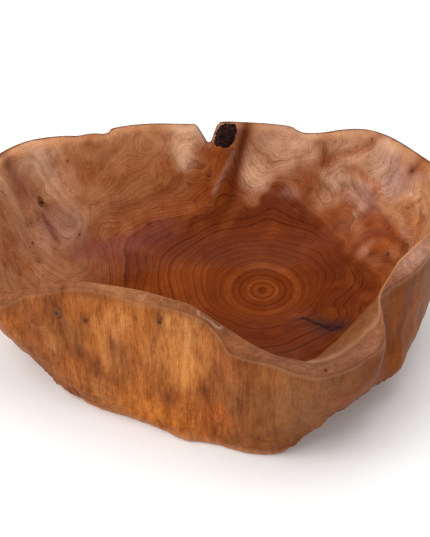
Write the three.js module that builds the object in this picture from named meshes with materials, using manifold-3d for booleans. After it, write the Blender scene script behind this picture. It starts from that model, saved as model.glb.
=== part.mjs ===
// Carved root-wood bowl: one hollowed block of burl wood with a wandering, lobed rim, a notch in the
// back rim, a lump of old bark beside the notch, a filled check in the floor and five encased knots.
// Units are millimetres, +Z up. The bowl stands on z = 0, and the origin is the centre of its plan box.
// +X is the long way of the bowl, and -Y is the side with the low, flared lip.

import * as THREE from 'three';
import { mergeVertices } from 'three/addons/utils/BufferGeometryUtils.js';
import Module from 'manifold-3d';

// ---------------------------------------------------------------- driving dimensions
const FLOOR_HEIGHT = 18;          // thickness of the wood under the middle of the floor
const FLOOR_EDGE_RISE = 1;        // the floor climbs this much before the wall starts
const FLOOR_EDGE_SCALE = 0.66;    // plan scale of the floor's edge against the foot
const FLOOR_CENTRE = [8, 0];      // lowest point of the floor
const RIM_SOFT = 2.0;             // inward step of the softened inner rim edge
const RIM_DROP = 3.5;             // downward step of the same edge
const COLUMN_STEP = 13;           // widest spacing of the columns around the rim
const CENTRE_SHIFT = [-0.43, 3.0]; // brings the plan box's centre to the origin
const GAP = 0.3;                  // gap between a plug and its pocket

// Notch in the back rim: a V, in the XZ plane, cut right through the wall.
const NOTCH = [[-1.8, 110.5], [0.9, 110.5], [5.2, 126], [11.5, 134], [12, 150], [-17, 150], [-16, 134], [-10.2, 127]];
const NOTCH_FROM_Y = 124, NOTCH_DEPTH = 40;

// Bark lump, floor check and knots: [centre], [half sizes] of an ellipsoid pocket, and its turn about Z.
const BARK = { at: [13.2, 139.2, 117], half: [9.3, 5.2, 13.5], turn: 0 };
const CHECK = { at: [93, -5.5, 20.0], half: [18, 3.2, 5.0], turn: -22 };

// Encased knots: head centre, outward direction, head radius, foot radius, depth.
const KNOTS = [
  { name: 'knot_outer_left', at: [-115.9, -82.6, 96.6], out: [-0.27, -0.96, -0.04], head: 4.2, foot: 2.6, depth: 6.5 },
  { name: 'knot_outer_middle', at: [-93.7, -89.5, 94.1], out: [-0.35, -0.93, 0], head: 2.8, foot: 1.7, depth: 4.5 },
  { name: 'knot_outer_front', at: [-37, -112.8, 112.3], out: [-0.26, -0.96, 0], head: 3.2, foot: 2.0, depth: 4.5 },
  { name: 'knot_inner_left', at: [-145.7, 105, 73.5], out: [0.54, -0.73, 0.41], head: 4.0, foot: 2.4, depth: 5.5 },
  { name: 'knot_rim_right', at: [83.3, -149.9, 96], out: [0.11, -0.48, 0.87], head: 2.6, foot: 1.6, depth: 4.0 },
];

// Stations around the bowl, counter-clockwise from the right side, seen from above.
// foot: edge of the flat underside. low: where the outer wall turns up. outer and inner: the two edges of
// the rim. crease: the inner edge of the wide lip on the flared front-right lobe.
const STATIONS = [
  { foot: [148, 26], low: [181, 32, 46], outer: [200, 46, 118], inner: [188, 50, 117] },
  { foot: [143, 54], low: [176, 64, 42], outer: [199, 76, 120], inner: [190, 72, 119] },
  { foot: [134, 78], low: [162, 86, 34], outer: [184.5, 94, 122], inner: [181.5, 88.5, 121] },
  { foot: [120, 94], low: [144, 106, 30], outer: [167, 118.5, 123], inner: [163.5, 111, 122.5] },
  { foot: [106, 103], low: [128, 117, 28], outer: [153, 133, 124], inner: [150, 126.5, 123] },
  { foot: [90, 109], low: [108, 124, 26], outer: [134.5, 141.5, 125], inner: [133, 135.5, 124] },
  { foot: [75, 111], low: [92, 126, 25], outer: [115.5, 143, 124], inner: [114.5, 137, 123] },
  { foot: [60, 113], low: [76, 126, 24], outer: [96, 142.5, 121], inner: [95.5, 137, 120] },
  { foot: [46, 114], low: [60, 126, 24], outer: [79.5, 143, 121], inner: [79, 138, 120] },
  { foot: [36, 114], low: [50, 127, 24], outer: [70, 146, 125], inner: [69.5, 140, 124] },
  { foot: [24, 114], low: [36, 128, 24], outer: [54.5, 147, 127], inner: [54, 141.5, 126] },
  { foot: [10, 114], low: [20, 128, 24], outer: [32.5, 147.5, 128.5], inner: [32.5, 141, 128] },
  { foot: [-4, 113], low: [4, 127, 24], outer: [13.5, 148, 129], inner: [13.5, 141, 128.5] },
  { foot: [-18, 112], low: [-10, 122, 22], outer: [-1, 146.5, 128.5], inner: [-1, 140, 128] },
  { foot: [-30, 112], low: [-24, 126, 24], outer: [-17.5, 145, 128.5], inner: [-17.5, 138.5, 128] },
  { foot: [-54, 110], low: [-56, 126, 24], outer: [-55.5, 145, 128.5], inner: [-55.5, 138.5, 128] },
  { foot: [-74, 106], low: [-80, 122, 25], outer: [-83, 140.5, 127], inner: [-83, 134.5, 126] },
  { foot: [-88, 101], low: [-97, 117, 26], outer: [-103, 134.5, 123], inner: [-102.5, 129, 122] },
  { foot: [-102, 94], low: [-116, 112, 28], outer: [-128.5, 133, 123.5], inner: [-128, 126.5, 122.5] },
  { foot: [-118, 82], low: [-138, 100, 30], outer: [-156.5, 126, 123], inner: [-154, 119, 122] },
  { foot: [-130, 66], low: [-155, 82, 32], outer: [-178.5, 109.5, 121], inner: [-173.5, 102, 120] },
  { foot: [-138, 46], low: [-168, 62, 34], outer: [-192, 88, 119], inner: [-182, 83, 118] },
  { foot: [-142, 24], low: [-175, 36, 36], outer: [-199, 55, 116], inner: [-189, 53, 115.5] },
  { foot: [-142, 2], low: [-176, 8, 38], outer: [-199, 16, 110], inner: [-188, 17, 110] },
  { foot: [-138, -20], low: [-170, -20, 38], outer: [-190, -24, 102], inner: [-180, -20, 103] },
  { foot: [-130, -38], low: [-158, -42, 38], outer: [-177, -55, 98], inner: [-168, -48, 100] },
  { foot: [-120, -54], low: [-144, -56, 34], outer: [-159, -74.5, 98], inner: [-158.5, -61.5, 102] },
  { foot: [-112, -63], low: [-131, -64, 30], outer: [-142.5, -73, 105], inner: [-143, -69.5, 108] },
  { foot: [-103, -71], low: [-115, -76, 24], outer: [-120, -82, 116], inner: [-120, -78, 119] },
  { foot: [-93, -79], low: [-101, -84, 20], outer: [-102, -87, 124], inner: [-102.5, -82, 126] },
  { foot: [-80, -86], low: [-84, -92, 18], outer: [-82, -94.5, 127], inner: [-82.5, -88.5, 129] },
  { foot: [-58, -96], low: [-58, -103, 16], outer: [-53, -108, 127], inner: [-53, -98, 130] },
  { foot: [-36, -108], low: [-34, -114, 16], outer: [-28, -115.5, 127], inner: [-29.5, -108, 130] },
  { foot: [-19, -119], low: [-18, -122, 16], outer: [-12.5, -121, 125], inner: [-14, -114, 128.5] },
  { foot: [-5, -122], low: [-4, -125, 16], outer: [-2, -123.5, 120], inner: [-3, -119, 124] },
  { foot: [8, -126], low: [8, -129, 16], outer: [7, -129.5, 112], inner: [7, -122.5, 118] },
  { foot: [19, -131], low: [18, -134, 16], outer: [14, -139, 105], inner: [17, -125.5, 112.5] },
  { foot: [33, -135], low: [32, -138, 16], outer: [28, -142.5, 101], inner: [30.5, -133.5, 108] },
  { foot: [47, -135.5], low: [47, -140, 16], outer: [47, -145.5, 98], inner: [47, -141, 104] },
  { foot: [58, -131], low: [62, -137, 18], outer: [65, -152.5, 95], inner: [63, -143, 101] },
  { foot: [70, -118], low: [79, -128, 22], outer: [80.5, -154, 94], inner: [77.5, -145.5, 99.5], crease: [72, -140.5, 97] },
  { foot: [81, -102], low: [94, -117, 26], outer: [97.5, -148, 95], inner: [93, -138.5, 100], crease: [84.5, -126.5, 95] },
  { foot: [92, -91], low: [108, -109, 29], outer: [113, -139.5, 98], inner: [106.5, -128, 102], crease: [96.5, -109.5, 95] },
  { foot: [101, -82], low: [120, -99, 31], outer: [125, -130, 103], inner: [115.5, -120, 106.5], crease: [106, -99, 98] },
  { foot: [108, -75], low: [127, -91, 32], outer: [128.5, -118, 106], inner: [122, -115, 110], crease: [113, -91.5, 101] },
  { foot: [114, -68], low: [132, -85, 32], outer: [128, -101.5, 109], inner: [126, -103, 111], crease: [120, -85, 105] },
  { foot: [121, -61], low: [138, -78, 32], outer: [128.5, -84.5, 111], inner: [127.5, -83.5, 112], crease: [125.5, -80, 109] },
  { foot: [129, -53], low: [150, -71, 31], outer: [137.5, -71, 113], inner: [131.5, -72, 114], crease: [130, -69.5, 110] },
  { foot: [139, -42], low: [157, -53, 34], outer: [154, -57, 115], inner: [145.5, -45, 116.5], crease: [144, -41.5, 112.5] },
  { foot: [146, -22], low: [167, -30, 36], outer: [170, -35.5, 117], inner: [161, -25, 118], crease: [160, -21, 114] },
  { foot: [149, 2], low: [176, -2, 42], outer: [190, 2, 118], inner: [179.5, 4.5, 118], crease: [178.5, 7.5, 114] },
];

// ---------------------------------------------------------------- small vector helpers
const add = (a, b, s = 1) => a.map((v, i) => v + b[i] * s);
const mix = (a, b, t) => a.map((v, i) => v + (b[i] - v) * t);
const dist = (a, b) => Math.hypot(...a.map((v, i) => v - b[i]));

// Hermite piece of a centripetal Catmull-Rom spline, from p1 to p2.
function piece(p0, p1, p2, p3, k0, k1, k2, k3, t) {
  const s = (t - k1) / (k2 - k1), s2 = s * s, s3 = s2 * s, d = k2 - k1;
  return p1.map((_, i) => {
    const m1 = ((p1[i] - p0[i]) / (k1 - k0) - (p2[i] - p0[i]) / (k2 - k0) + (p2[i] - p1[i]) / d) * d;
    const m2 = ((p2[i] - p1[i]) / d - (p3[i] - p1[i]) / (k3 - k1) + (p3[i] - p2[i]) / (k3 - k2)) * d;
    return (2 * s3 - 3 * s2 + 1) * p1[i] + (s3 - 2 * s2 + s) * m1 + (3 * s2 - 2 * s3) * p2[i] + (s3 - s2) * m2;
  });
}

// Closed spline through the stations, with knots taken from the outer rim edge.
const COUNT = STATIONS.length;
const RIM_KNOTS = [0];
for (let i = 0; i < COUNT; i++) RIM_KNOTS.push(RIM_KNOTS[i] + Math.sqrt(dist(STATIONS[i].outer, STATIONS[(i + 1) % COUNT].outer)));
function around(values, station, t) {
  const total = RIM_KNOTS[COUNT];
  const knot = (j) => RIM_KNOTS[((j % COUNT) + COUNT) % COUNT] + Math.floor(j / COUNT) * total;
  const at = (j) => values[((j % COUNT) + COUNT) % COUNT];
  return piece(at(station - 1), at(station), at(station + 1), at(station + 2),
    knot(station - 1), knot(station), knot(station + 1), knot(station + 2), t);
}

// Open spline through the points of one profile, with steps[i] samples on piece i.
function along(points, steps) {
  const p = [mix(points[1], points[0], 2), ...points, mix(points.at(-2), points.at(-1), 2)];
  const k = [0];
  for (let i = 1; i < p.length; i++) k.push(k[i - 1] + Math.max(Math.sqrt(dist(p[i], p[i - 1])), 1e-3));
  const out = [];
  for (let i = 1; i < p.length - 2; i++) {
    for (let a = 0; a < steps[i - 1]; a++) {
      const t = k[i] + (k[i + 1] - k[i]) * (a / steps[i - 1]);
      out.push(piece(p[i - 1], p[i], p[i + 1], p[i + 2], k[i - 1], k[i], k[i + 1], k[i + 2], t));
    }
  }
  out.push(points.at(-1));
  return out;
}

// ---------------------------------------------------------------- the carved block
// Each column of the loft runs from the foot, up the outer wall, over the rim and down to the floor.
const columns = [];
const TABLE = {
  foot: STATIONS.map((s) => [...s.foot, 0]),
  low: STATIONS.map((s) => s.low),
  outer: STATIONS.map((s) => s.outer),
  inner: STATIONS.map((s) => s.inner),
  crease: STATIONS.map((s) => s.crease ?? s.inner),
  lip: STATIONS.map((s) => [s.crease ? 1 : 0]),
};
for (let i = 0; i < COUNT; i++) {
  const span = dist(STATIONS[i].outer, STATIONS[(i + 1) % COUNT].outer);
  const parts = Math.max(1, Math.ceil(span / COLUMN_STEP));
  for (let a = 0; a < parts; a++) {
    const t = RIM_KNOTS[i] + (RIM_KNOTS[i + 1] - RIM_KNOTS[i]) * (a / parts);
    const foot = around(TABLE.foot, i, t), low = around(TABLE.low, i, t), outer = around(TABLE.outer, i, t);
    const inner = around(TABLE.inner, i, t), crease = around(TABLE.crease, i, t);
    const lip = Math.min(1, Math.max(0, around(TABLE.lip, i, t)[0]));
    foot[2] = 0;
    const rise = outer[2] - low[2];
    const middle = mix(low, outer, 0.62), upper = mix(low, outer, 0.88);
    middle[2] = low[2] + rise * 0.42;
    upper[2] = low[2] + rise * 0.74;
    const edge = [foot[0] * FLOOR_EDGE_SCALE, foot[1] * FLOOR_EDGE_SCALE, FLOOR_HEIGHT + FLOOR_EDGE_RISE];
    const inward = [edge[0] - inner[0], edge[1] - inner[1], 0];
    const length = Math.hypot(...inward);
    const soft = add(inner, inward.map((v) => v / length), RIM_SOFT);
    soft[2] -= RIM_DROP;
    const top = mix(soft, crease, lip);
    const depth = top[2] - FLOOR_HEIGHT;
    const wall = [[0.09, 0.70], [0.25, 0.39], [0.54, 0.135]].map(([run, height]) => {
      const q = mix(top, edge, run);
      q[2] = FLOOR_HEIGHT + depth * height;
      return q;
    });
    const outside = along([foot, low, middle, upper, outer], [2, 3, 2, 2]);
    const inside = along([inner, top, ...wall, edge], [1, 3, 3, 3, 2]);
    const middleFloor = mix(edge, [...FLOOR_CENTRE, FLOOR_HEIGHT], 0.5);
    middleFloor[2] = FLOOR_HEIGHT + FLOOR_EDGE_RISE * 0.2;
    columns.push([...outside, ...inside, middleFloor]);
  }
}

function loft(rings, capStart, capEnd) {
  // rings[column][row]; the ends close on the points capStart and capEnd
  const n = rings.length, rows = rings[0].length, position = [], index = [];
  for (const ring of rings) for (const p of ring) position.push(p[0] + CENTRE_SHIFT[0], p[1] + CENTRE_SHIFT[1], p[2]);
  const start = n * rows, end = start + 1;
  position.push(capStart[0], capStart[1], capStart[2], capEnd[0], capEnd[1], capEnd[2]);
  for (let c = 0; c < n; c++) {
    const a = c * rows, b = ((c + 1) % n) * rows;
    index.push(start, b, a);
    for (let r = 0; r < rows - 1; r++) {
      index.push(a + r, b + r, b + r + 1);
      index.push(a + r, b + r + 1, a + r + 1);
    }
    index.push(end, a + rows - 1, b + rows - 1);
  }
  const geometry = new THREE.BufferGeometry();
  geometry.setAttribute('position', new THREE.Float32BufferAttribute(position, 3));
  geometry.setIndex(index);
  return geometry;
}

// ---------------------------------------------------------------- joining and cutting
const wasm = await Module();
wasm.setup();

function solid(geometry) {
  let g = geometry.clone();
  g.deleteAttribute('normal');
  g.deleteAttribute('uv');
  g = mergeVertices(g, 1e-4);
  return new wasm.Manifold(new wasm.Mesh({
    numProp: 3,
    vertProperties: new Float32Array(g.attributes.position.array),
    triVerts: new Uint32Array(g.index.array),
  }));
}

function geometryOf(manifold) {
  const mesh = manifold.getMesh();
  const g = new THREE.BufferGeometry();
  g.setAttribute('position', new THREE.Float32BufferAttribute(mesh.vertProperties, 3));
  g.setIndex(Array.from(mesh.triVerts));
  g.computeVertexNormals();
  return g;
}

function ellipsoid({ at, half, turn }, grow = 0) {
  const g = new THREE.SphereGeometry(1, 20, 14);
  g.scale(half[0] + grow, half[1] + grow, half[2] + grow);
  g.rotateZ(THREE.MathUtils.degToRad(turn));
  g.translate(at[0] + CENTRE_SHIFT[0], at[1] + CENTRE_SHIFT[1], at[2]);
  return g;
}

function plug({ at, out, head, foot, depth }, grow = 0) {
  // a tapered stub whose head stands past the surface, so the wood's own surface trims it
  const above = 6, slope = (head - foot) / depth;
  const g = new THREE.LatheGeometry([
    new THREE.Vector2(0, -depth - grow), new THREE.Vector2(foot + grow, -depth - grow),
    new THREE.Vector2(head + grow + slope * above, above), new THREE.Vector2(0, above),
  ], 14);
  const axis = new THREE.Vector3(...out).normalize();
  g.applyQuaternion(new THREE.Quaternion().setFromUnitVectors(new THREE.Vector3(0, 1, 0), axis));
  g.translate(at[0] + CENTRE_SHIFT[0], at[1] + CENTRE_SHIFT[1], at[2]);
  return g;
}

const notchShape = new THREE.Shape(NOTCH.map(([x, z]) => new THREE.Vector2(x, z)));
const notchGeometry = new THREE.ExtrudeGeometry(notchShape, { depth: NOTCH_DEPTH, bevelEnabled: false });
notchGeometry.rotateX(Math.PI / 2);
notchGeometry.translate(CENTRE_SHIFT[0], NOTCH_FROM_Y + NOTCH_DEPTH + CENTRE_SHIFT[1], 0);

const floorPoint = [FLOOR_CENTRE[0] + CENTRE_SHIFT[0], FLOOR_CENTRE[1] + CENTRE_SHIFT[1], FLOOR_HEIGHT];
const block = solid(loft(columns, [CENTRE_SHIFT[0], CENTRE_SHIFT[1], 0], floorPoint)).subtract(solid(notchGeometry));

let body = block;
const pieces = [];
for (const [name, shape] of [['bark_inclusion', BARK], ['floor_check_filler', CHECK]]) {
  pieces.push([name, block.intersect(solid(ellipsoid(shape)))]);
  body = body.subtract(solid(ellipsoid(shape, GAP)));
}
for (const knot of KNOTS) {
  pieces.push([knot.name, block.intersect(solid(plug(knot)))]);
  body = body.subtract(solid(plug(knot, GAP)));
}

// ---------------------------------------------------------------- the scene graph
const MATERIALS = {
  bowl_body: { color: 0xa5683c, roughness: 0.38, metalness: 0 },
  bark_inclusion: { color: 0x2c1a14, roughness: 0.85, metalness: 0 },
  floor_check_filler: { color: 0x3a1d14, roughness: 0.6, metalness: 0 },
  knot: { color: 0x4a2a1b, roughness: 0.55, metalness: 0 },
};

const bowl = new THREE.Group();
for (const [name, manifold] of [['bowl_body', body], ...pieces]) {
  const look = MATERIALS[name] ?? MATERIALS.knot;
  const mesh = new THREE.Mesh(geometryOf(manifold), new THREE.MeshStandardMaterial(look));
  mesh.name = name;
  bowl.add(mesh);
}

export default bowl;
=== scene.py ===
"""Looks of the carved root-wood bowl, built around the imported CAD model. Metres, +Z up, same frame as the CAD."""
import math
import bpy
import numpy as np
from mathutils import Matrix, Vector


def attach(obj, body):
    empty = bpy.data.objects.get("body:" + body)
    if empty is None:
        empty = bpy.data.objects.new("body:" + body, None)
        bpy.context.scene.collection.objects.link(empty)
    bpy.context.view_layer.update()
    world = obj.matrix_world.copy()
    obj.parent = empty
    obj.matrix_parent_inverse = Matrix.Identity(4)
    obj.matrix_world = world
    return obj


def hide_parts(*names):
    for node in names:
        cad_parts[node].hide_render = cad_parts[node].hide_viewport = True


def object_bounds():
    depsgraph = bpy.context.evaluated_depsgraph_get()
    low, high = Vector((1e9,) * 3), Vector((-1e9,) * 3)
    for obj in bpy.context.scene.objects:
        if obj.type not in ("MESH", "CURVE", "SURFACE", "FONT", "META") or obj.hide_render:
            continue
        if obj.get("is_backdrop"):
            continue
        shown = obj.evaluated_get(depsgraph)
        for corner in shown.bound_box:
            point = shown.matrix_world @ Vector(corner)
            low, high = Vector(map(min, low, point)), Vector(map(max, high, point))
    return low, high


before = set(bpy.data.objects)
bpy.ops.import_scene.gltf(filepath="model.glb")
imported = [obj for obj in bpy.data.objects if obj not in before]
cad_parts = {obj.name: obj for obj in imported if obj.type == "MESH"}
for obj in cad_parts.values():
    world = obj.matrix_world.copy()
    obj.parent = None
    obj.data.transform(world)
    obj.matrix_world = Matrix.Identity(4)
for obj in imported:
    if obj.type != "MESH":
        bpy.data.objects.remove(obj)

CAD_BOX = [list(map(float, c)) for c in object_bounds()]

# =====================================================================================================
# 1. the station tables of the carved block, in millimetres, as in the CAD model
# =====================================================================================================
SHIFT = np.array([-0.43, 3.0, 0.0])
FLOOR_HEIGHT, FLOOR_RISE, FLOOR_SCALE, FLOOR_CENTRE = 18.0, 1.0, 0.66, (8.0, 0.0)
RIM_SOFT, RIM_DROP = 2.0, 3.5
# foot x,y | low x,y,z | outer x,y,z | inner x,y,z | crease x,y,z (nan = none)
N = float("nan")
ST = np.array([
    [148, 26, 181, 32, 46, 200, 46, 118, 188, 50, 117, N, N, N],
    [143, 54, 176, 64, 42, 199, 76, 120, 190, 72, 119, N, N, N],
    [134, 78, 162, 86, 34, 184.5, 94, 122, 181.5, 88.5, 121, N, N, N],
    [120, 94, 144, 106, 30, 167, 118.5, 123, 163.5, 111, 122.5, N, N, N],
    [106, 103, 128, 117, 28, 153, 133, 124, 150, 126.5, 123, N, N, N],
    [90, 109, 108, 124, 26, 134.5, 141.5, 125, 133, 135.5, 124, N, N, N],
    [75, 111, 92, 126, 25, 115.5, 143, 124, 114.5, 137, 123, N, N, N],
    [60, 113, 76, 126, 24, 96, 142.5, 121, 95.5, 137, 120, N, N, N],
    [46, 114, 60, 126, 24, 79.5, 143, 121, 79, 138, 120, N, N, N],
    [36, 114, 50, 127, 24, 70, 146, 125, 69.5, 140, 124, N, N, N],
    [24, 114, 36, 128, 24, 54.5, 147, 127, 54, 141.5, 126, N, N, N],
    [10, 114, 20, 128, 24, 32.5, 147.5, 128.5, 32.5, 141, 128, N, N, N],
    [-4, 113, 4, 127, 24, 13.5, 148, 129, 13.5, 141, 128.5, N, N, N],
    [-18, 112, -10, 122, 22, -1, 146.5, 128.5, -1, 140, 128, N, N, N],
    [-30, 112, -24, 126, 24, -17.5, 145, 128.5, -17.5, 138.5, 128, N, N, N],
    [-54, 110, -56, 126, 24, -55.5, 145, 128.5, -55.5, 138.5, 128, N, N, N],
    [-74, 106, -80, 122, 25, -83, 140.5, 127, -83, 134.5, 126, N, N, N],
    [-88, 101, -97, 117, 26, -103, 134.5, 123, -102.5, 129, 122, N, N, N],
    [-102, 94, -116, 112, 28, -128.5, 133, 123.5, -128, 126.5, 122.5, N, N, N],
    [-118, 82, -138, 100, 30, -156.5, 126, 123, -154, 119, 122, N, N, N],
    [-130, 66, -155, 82, 32, -178.5, 109.5, 121, -173.5, 102, 120, N, N, N],
    [-138, 46, -168, 62, 34, -192, 88, 119, -182, 83, 118, N, N, N],
    [-142, 24, -175, 36, 36, -199, 55, 116, -189, 53, 115.5, N, N, N],
    [-142, 2, -176, 8, 38, -199, 16, 110, -188, 17, 110, N, N, N],
    [-138, -20, -170, -20, 38, -190, -24, 102, -180, -20, 103, N, N, N],
    [-130, -38, -158, -42, 38, -177, -55, 98, -168, -48, 100, N, N, N],
    [-120, -54, -144, -56, 34, -159, -74.5, 98, -158.5, -61.5, 102, N, N, N],
    [-112, -63, -131, -64, 30, -142.5, -73, 105, -143, -69.5, 108, N, N, N],
    [-103, -71, -115, -76, 24, -120, -82, 116, -120, -78, 119, N, N, N],
    [-93, -79, -101, -84, 20, -102, -87, 124, -102.5, -82, 126, N, N, N],
    [-80, -86, -84, -92, 18, -82, -94.5, 127, -82.5, -88.5, 129, N, N, N],
    [-58, -96, -58, -103, 16, -53, -108, 127, -53, -98, 130, N, N, N],
    [-36, -108, -34, -114, 16, -28, -115.5, 127, -29.5, -108, 130, N, N, N],
    [-19, -119, -18, -122, 16, -12.5, -121, 125, -14, -114, 128.5, N, N, N],
    [-5, -122, -4, -125, 16, -2, -123.5, 120, -3, -119, 124, N, N, N],
    [8, -126, 8, -129, 16, 7, -129.5, 112, 7, -122.5, 118, N, N, N],
    [19, -131, 18, -134, 16, 14, -139, 105, 17, -125.5, 112.5, N, N, N],
    [33, -135, 32, -138, 16, 28, -142.5, 101, 30.5, -133.5, 108, N, N, N],
    [47, -135.5, 47, -140, 16, 47, -145.5, 98, 47, -141, 104, N, N, N],
    [58, -131, 62, -137, 18, 65, -152.5, 95, 63, -143, 101, N, N, N],
    [70, -118, 79, -128, 22, 80.5, -154, 94, 77.5, -145.5, 99.5, 72, -140.5, 97],
    [81, -102, 94, -117, 26, 97.5, -148, 95, 93, -138.5, 100, 84.5, -126.5, 95],
    [92, -91, 108, -109, 29, 113, -139.5, 98, 106.5, -128, 102, 96.5, -109.5, 95],
    [101, -82, 120, -99, 31, 125, -130, 103, 115.5, -120, 106.5, 106, -99, 98],
    [108, -75, 127, -91, 32, 128.5, -118, 106, 122, -115, 110, 113, -91.5, 101],
    [114, -68, 132, -85, 32, 128, -101.5, 109, 126, -103, 111, 120, -85, 105],
    [121, -61, 138, -78, 32, 128.5, -84.5, 111, 127.5, -83.5, 112, 125.5, -80, 109],
    [129, -53, 150, -71, 31, 137.5, -71, 113, 131.5, -72, 114, 130, -69.5, 110],
    [139, -42, 157, -53, 34, 154, -57, 115, 145.5, -45, 116.5, 144, -41.5, 112.5],
    [146, -22, 167, -30, 36, 170, -35.5, 117, 161, -25, 118, 160, -21, 114],
    [149, 2, 176, -2, 42, 190, 2, 118, 179.5, 4.5, 118, 178.5, 7.5, 114],
])
# notch in the back rim: lowest height that the wall may reach, against x
NOTCH_X = np.array([-17.0, -14.5, -10.6, -7.0, -2.2, -0.4, 1.3, 3.6, 5.6, 8.6, 12.0])
NOTCH_Z = np.array([132.0, 128.7, 126.0, 119.5, 111.0, 110.2, 111.2, 119.0, 125.2, 129.0, 132.0])


# =====================================================================================================
# 2. small numeric tools: noise, splines
# =====================================================================================================
_rs = np.random.RandomState(11)
_PERM = np.concatenate([_rs.permutation(256)] * 3)
_GRAD = _rs.normal(size=(256, 3))
_GRAD /= np.linalg.norm(_GRAD, axis=1)[:, None]


def perlin(p):
    p = np.asarray(p, float)
    i = np.floor(p).astype(int)
    f = p - i
    u = f * f * f * (f * (f * 6 - 15) + 10)
    out = np.zeros(len(p))
    for dx in (0, 1):
        for dy in (0, 1):
            for dz in (0, 1):
                h = _PERM[_PERM[_PERM[(i[:, 0] + dx) & 255] + ((i[:, 1] + dy) & 255)] + ((i[:, 2] + dz) & 255)]
                w = (u[:, 0] if dx else 1 - u[:, 0]) * (u[:, 1] if dy else 1 - u[:, 1]) * (u[:, 2] if dz else 1 - u[:, 2])
                out += w * (_GRAD[h] * (f - (dx, dy, dz))).sum(1)
    return out * 1.6


def fbm(p, octaves=4, gain=0.5):
    out, a, s = 0.0, 1.0, 1.0
    for k in range(octaves):
        out = out + a * perlin(p * s + 17.3 * k)
        a *= gain
        s *= 2.03
    return out


def smooth(a, b, x):
    t = np.clip((x - a) / (b - a), 0, 1)
    return t * t * (3 - 2 * t)


def hermite(p0, p1, p2, p3, k0, k1, k2, k3, t):
    s = (t - k1) / (k2 - k1)
    d = k2 - k1
    m1 = ((p1 - p0) / (k1 - k0) - (p2 - p0) / (k2 - k0) + (p2 - p1) / d) * d
    m2 = ((p2 - p1) / d - (p3 - p1) / (k3 - k1) + (p3 - p2) / (k3 - k2)) * d
    return (2 * s**3 - 3 * s**2 + 1) * p1 + (s**3 - 2 * s**2 + s) * m1 + (3 * s**2 - 2 * s**3) * p2 + (s**3 - s**2) * m2


def closed_spline(P, K, t):
    n, L = len(P), K[-1]
    t = np.mod(t, L)
    i = np.clip(np.searchsorted(K, t, side="right") - 1, 0, n - 1)
    kk = lambda j: K[j % n] + (j // n) * L
    c = lambda a: a[:, None]
    return hermite(P[(i - 1) % n], P[i], P[(i + 1) % n], P[(i + 2) % n], c(kk(i - 1)), c(kk(i)), c(kk(i + 1)), c(kk(i + 2)), c(t))


def open_spline(P, counts):
    """P: [k, columns, 3]; returns [rows, columns, 3]."""
    P = np.asarray(P, float)
    E = np.concatenate([2 * P[:1] - P[1:2], P, 2 * P[-1:] - P[-2:-1]], 0)
    d = np.maximum(np.linalg.norm(np.diff(E, axis=0), axis=2) ** 0.5, 1e-3)
    K = np.concatenate([np.zeros((1, d.shape[1])), np.cumsum(d, 0)], 0)
    out = []
    for s in range(1, len(P)):
        k0, k1, k2, k3 = [K[s - 1 + j][:, None] for j in range(4)]
        for a in range(counts[s - 1]):
            t = k1 + (k2 - k1) * (a / counts[s - 1])
            out.append(hermite(E[s - 1], E[s], E[s + 1], E[s + 2], k0, k1, k2, k3, t))
    out.append(P[-1])
    return np.array(out)


def resample(curve, start, stop, v):
    """curve [rows, 3]: points at arc lengths start + v * (stop - start)."""
    L = np.concatenate([[0], np.cumsum(np.linalg.norm(np.diff(curve, axis=0), axis=1))])
    x = start + v * (stop - start)
    return np.stack([np.interp(x, L, curve[:, k]) for k in range(3)], 1)


def length(curve):
    return float(np.linalg.norm(np.diff(curve, axis=0), axis=1).sum())


# =====================================================================================================
# 3. the carved block as one closed, fine mesh
# =====================================================================================================
FOOT = np.c_[ST[:, 0:2], np.zeros(len(ST))]
LOW, OUTER, INNER = ST[:, 2:5], ST[:, 5:8], ST[:, 8:11]
HAS = ~np.isnan(ST[:, 11])
CREASE = np.where(HAS[:, None], ST[:, 11:14], INNER)
KN = np.concatenate([[0], np.cumsum(np.sqrt(np.linalg.norm(np.roll(OUTER, -1, 0) - OUTER, axis=1)))])

tf = np.linspace(0, KN[-1], 6001)
of_ = closed_spline(OUTER, KN, tf[:-1])
seg = np.linalg.norm(np.roll(of_, -1, 0) - of_, axis=1)
weight = np.ones(6000)
DENSE = [((-1, 146.5), 17, 2.4), ((12, 148), 11, 1.0), ((0, -123), 12, 3.2), ((128, -90), 16, 1.0), ((128, -120), 14, 0.6),
         ((-116, -82.6), 7, 1.3), ((-94, -89.5), 6, 1.2), ((-37, -112.8), 6, 1.2), ((-157, 125), 7, 1.2), ((-87, 142), 7, 1.3), ((83, -154), 6, 1.2)]
for p, width, gain in DENSE:
    weight += gain * np.exp(-(np.linalg.norm(of_[:, :2] - np.array(p), axis=1) / width) ** 2)
cum = np.concatenate([[0], np.cumsum(seg * weight)])
COLS = 476
t = np.interp(np.arange(COLS) / COLS * cum[-1], cum, tf)

foot, low, outer, inner, crease = [closed_spline(a, KN, t) for a in (FOOT, LOW, OUTER, INNER, CREASE)]
lip = np.clip(closed_spline(HAS[:, None].astype(float), KN, t), 0, 1)
foot[:, 2] = 0
middle, upper = low + (outer - low) * 0.62, low + (outer - low) * 0.88
middle[:, 2] = low[:, 2] + (outer[:, 2] - low[:, 2]) * 0.42
upper[:, 2] = low[:, 2] + (outer[:, 2] - low[:, 2]) * 0.74
edge = foot * FLOOR_SCALE
edge[:, 2] = FLOOR_HEIGHT + FLOOR_RISE
inward = edge - inner
inward[:, 2] = 0
inward /= np.linalg.norm(inward, axis=1)[:, None]
soft = inner + inward * RIM_SOFT
soft[:, 2] -= RIM_DROP
top = soft + (crease - soft) * lip
walls = []
for run, rise in ((0.09, 0.70), (0.25, 0.39), (0.54, 0.135)):
    q = top + (edge - top) * run
    q[:, 2] = FLOOR_HEIGHT + (top[:, 2] - FLOOR_HEIGHT) * rise
    walls.append(q)
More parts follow.
